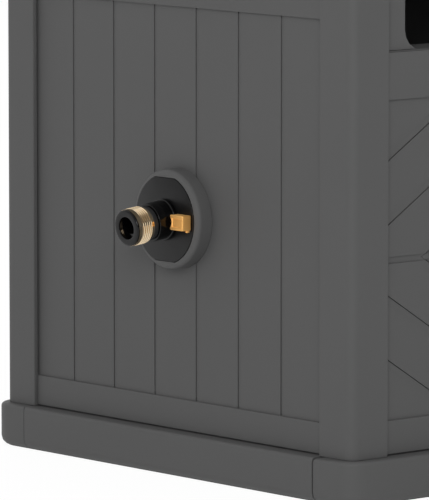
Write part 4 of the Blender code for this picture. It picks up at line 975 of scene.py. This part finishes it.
# %% Floor
FLOOR_SIZE, FLOOR_Z = 60.0, -0.0002
FLOOR_LIFT, FLOOR_GLOW = 0.88, 1.06  # the share of the floor that is plain white, and its level
fresh()
bpy.ops.mesh.primitive_plane_add(size=FLOOR_SIZE, location=(0, 0, FLOOR_Z))
floor = bpy.context.object
floor.name = "floor"
sweep, tree = new_material("pale_floor")[:2]
seen = add(tree, "ShaderNodeLightPath")
white = add(tree, "ShaderNodeMath", {0: seen.outputs["Is Camera Ray"],
                                     1: seen.outputs["Is Glossy Ray"]}, operation="MAXIMUM")
white = add(tree, "ShaderNodeMath", {0: white.outputs[0],
                                     1: seen.outputs["Is Transmission Ray"]}, operation="MAXIMUM")
lift = add(tree, "ShaderNodeMath", {0: white.outputs[0], 1: FLOOR_LIFT}, operation="MULTIPLY")
paint = add(tree, "ShaderNodeBsdfDiffuse", {"Color": linear("#F4F4F4")})
glow = add(tree, "ShaderNodeEmission", {"Color": linear("#FFFFFF"), "Strength": FLOOR_GLOW})
surface(tree, add(tree, "ShaderNodeMixShader", {0: lift.outputs[0], 1: paint.outputs[0],
                                                2: glow.outputs[0]}))
dress(floor, sweep)
print("floor", FLOOR_SIZE, "m wide")

# %% [markdown]
# ## The room and the lamps
#
# The room is a world that is dim near the floor and six times as bright overhead, so upper faces
# are lighter than sides. Behind the cabinet, where the pale sweep would stand, it is bright down to
# the floor. The camera sees plain white all round, and mirror and glass rays see it behind the
# cabinet, where the sweep is.
#
# Three softboxes do the rest. The strong one hangs high off the near corner, and puts the sheen on
# the rounded edges. Two weak ones fill the front and the left side. A sun lamp would be simpler,
# but its hard shadows don't suit a studio.

# %% World
SWEEP_LEVEL, ROOM_LOW, ROOM_HIGH = 0.62, 0.10, 0.60
ROOM_FROM, ROOM_TO = 0.26, 0.55  # sines of the heights between which the room turns bright
AWAY = (0.646, 0.753, 0.0)  # the way the camera looks, level with the floor
SWEEP_FROM, SWEEP_TO = -0.1, 0.4  # cosines of the angles to it between which the sweep begins
world = bpy.data.worlds.new("studio")
bpy.context.scene.world = world
world.use_nodes = True
tree = world.node_tree
tree.nodes.clear()
way = add(tree, "ShaderNodeTexCoord").outputs["Generated"]
height = add(tree, "ShaderNodeSeparateXYZ", {0: way}).outputs["Z"]
room = add(tree, "ShaderNodeMapRange",
           {"Value": height, "From Min": ROOM_FROM, "From Max": ROOM_TO, "To Min": ROOM_LOW,
            "To Max": ROOM_HIGH}, interpolation_type="SMOOTHSTEP")
behind = add(tree, "ShaderNodeVectorMath", {0: way, 1: AWAY}, operation="DOT_PRODUCT")
share = add(tree, "ShaderNodeMapRange",
            {"Value": behind.outputs["Value"], "From Min": SWEEP_FROM, "From Max": SWEEP_TO},
            interpolation_type="SMOOTHSTEP")
level = add(tree, "ShaderNodeMix", {"Factor": share.outputs["Result"],
                                    "A": room.outputs["Result"], "B": SWEEP_LEVEL})
seen = add(tree, "ShaderNodeLightPath")
light = add(tree, "ShaderNodeBackground", {"Color": linear("#FFFFFF"),
                                           "Strength": level.outputs["Result"]})
sheet = add(tree, "ShaderNodeBackground", {"Color": linear("#FFFFFF"), "Strength": 1.0})
mirror = add(tree, "ShaderNodeMath", {0: seen.outputs["Is Glossy Ray"],
                                      1: seen.outputs["Is Transmission Ray"]}, operation="MAXIMUM")
mirror = add(tree, "ShaderNodeMath", {0: mirror.outputs[0], 1: share.outputs["Result"]},
             operation="MULTIPLY")
shown = add(tree, "ShaderNodeMath", {0: seen.outputs["Is Camera Ray"], 1: mirror.outputs[0]},
            operation="MAXIMUM")
view = add(tree, "ShaderNodeMixShader", {0: shown.outputs[0], 1: light.outputs[0],
                                         2: sheet.outputs[0]})
add(tree, "ShaderNodeOutputWorld", {"Surface": view.outputs[0]})
print("sweep", SWEEP_LEVEL, "room", ROOM_LOW, "to", ROOM_HIGH)

# %% Lamps
def softbox(name, place, target, size, power):
    """A large square lamp that shines from a place towards a target."""
    lamp = bpy.data.lights.new(name, "AREA")
    lamp.size = size
    lamp.energy = power
    holder = bpy.data.objects.new(name, lamp)
    bpy.context.scene.collection.objects.link(holder)
    holder.location = place
    holder.rotation_euler = (Vector(target) - Vector(place)).to_track_quat("-Z", "Y").to_euler()


MIDDLE = (0, 0, 0.22)
softbox("corner_softbox", (-2.3, -2.2, 1.3), MIDDLE, size=1.2, power=33)
softbox("right_softbox", (1.8, -2.3, 1.3), MIDDLE, size=1.8, power=5)
softbox("left_softbox", (-2.7, 0.9, 1.3), MIDDLE, size=1.8, power=6)
print("three softboxes")

# %% [markdown]
# ## The camera
#
# The camera stands four metres off with a long lens, to the left of the front and a little higher
# than the lid, so it looks slightly down on the inlet, and the planks' edges stay nearly parallel.
# Its place and focal length were worked out from the lines of the planks and the rails.

# %% Camera
FRAME_HEIGHT_PX = 500
FOCAL_PX = 5671.6  # from the vanishing points of the planks and the rails
SENSOR_MM = 36
EYE, TILT, PAN = (-2.87180, -3.05132, 0.64091), 6.8392, 40.7258
lens = bpy.data.cameras.new("camera")
lens.sensor_fit = "AUTO"
lens.sensor_width = SENSOR_MM
lens.lens = FOCAL_PX * SENSOR_MM / FRAME_HEIGHT_PX
lens.clip_end = 100
camera = bpy.data.objects.new("camera", lens)
camera.location = EYE
camera.rotation_euler = (math.radians(90 - TILT), 0, math.radians(-PAN))
bpy.context.scene.collection.objects.link(camera)
bpy.context.scene.camera = camera
bpy.context.scene.view_settings.view_transform = "Standard"
print("lens", round(lens.lens, 1), "mm")
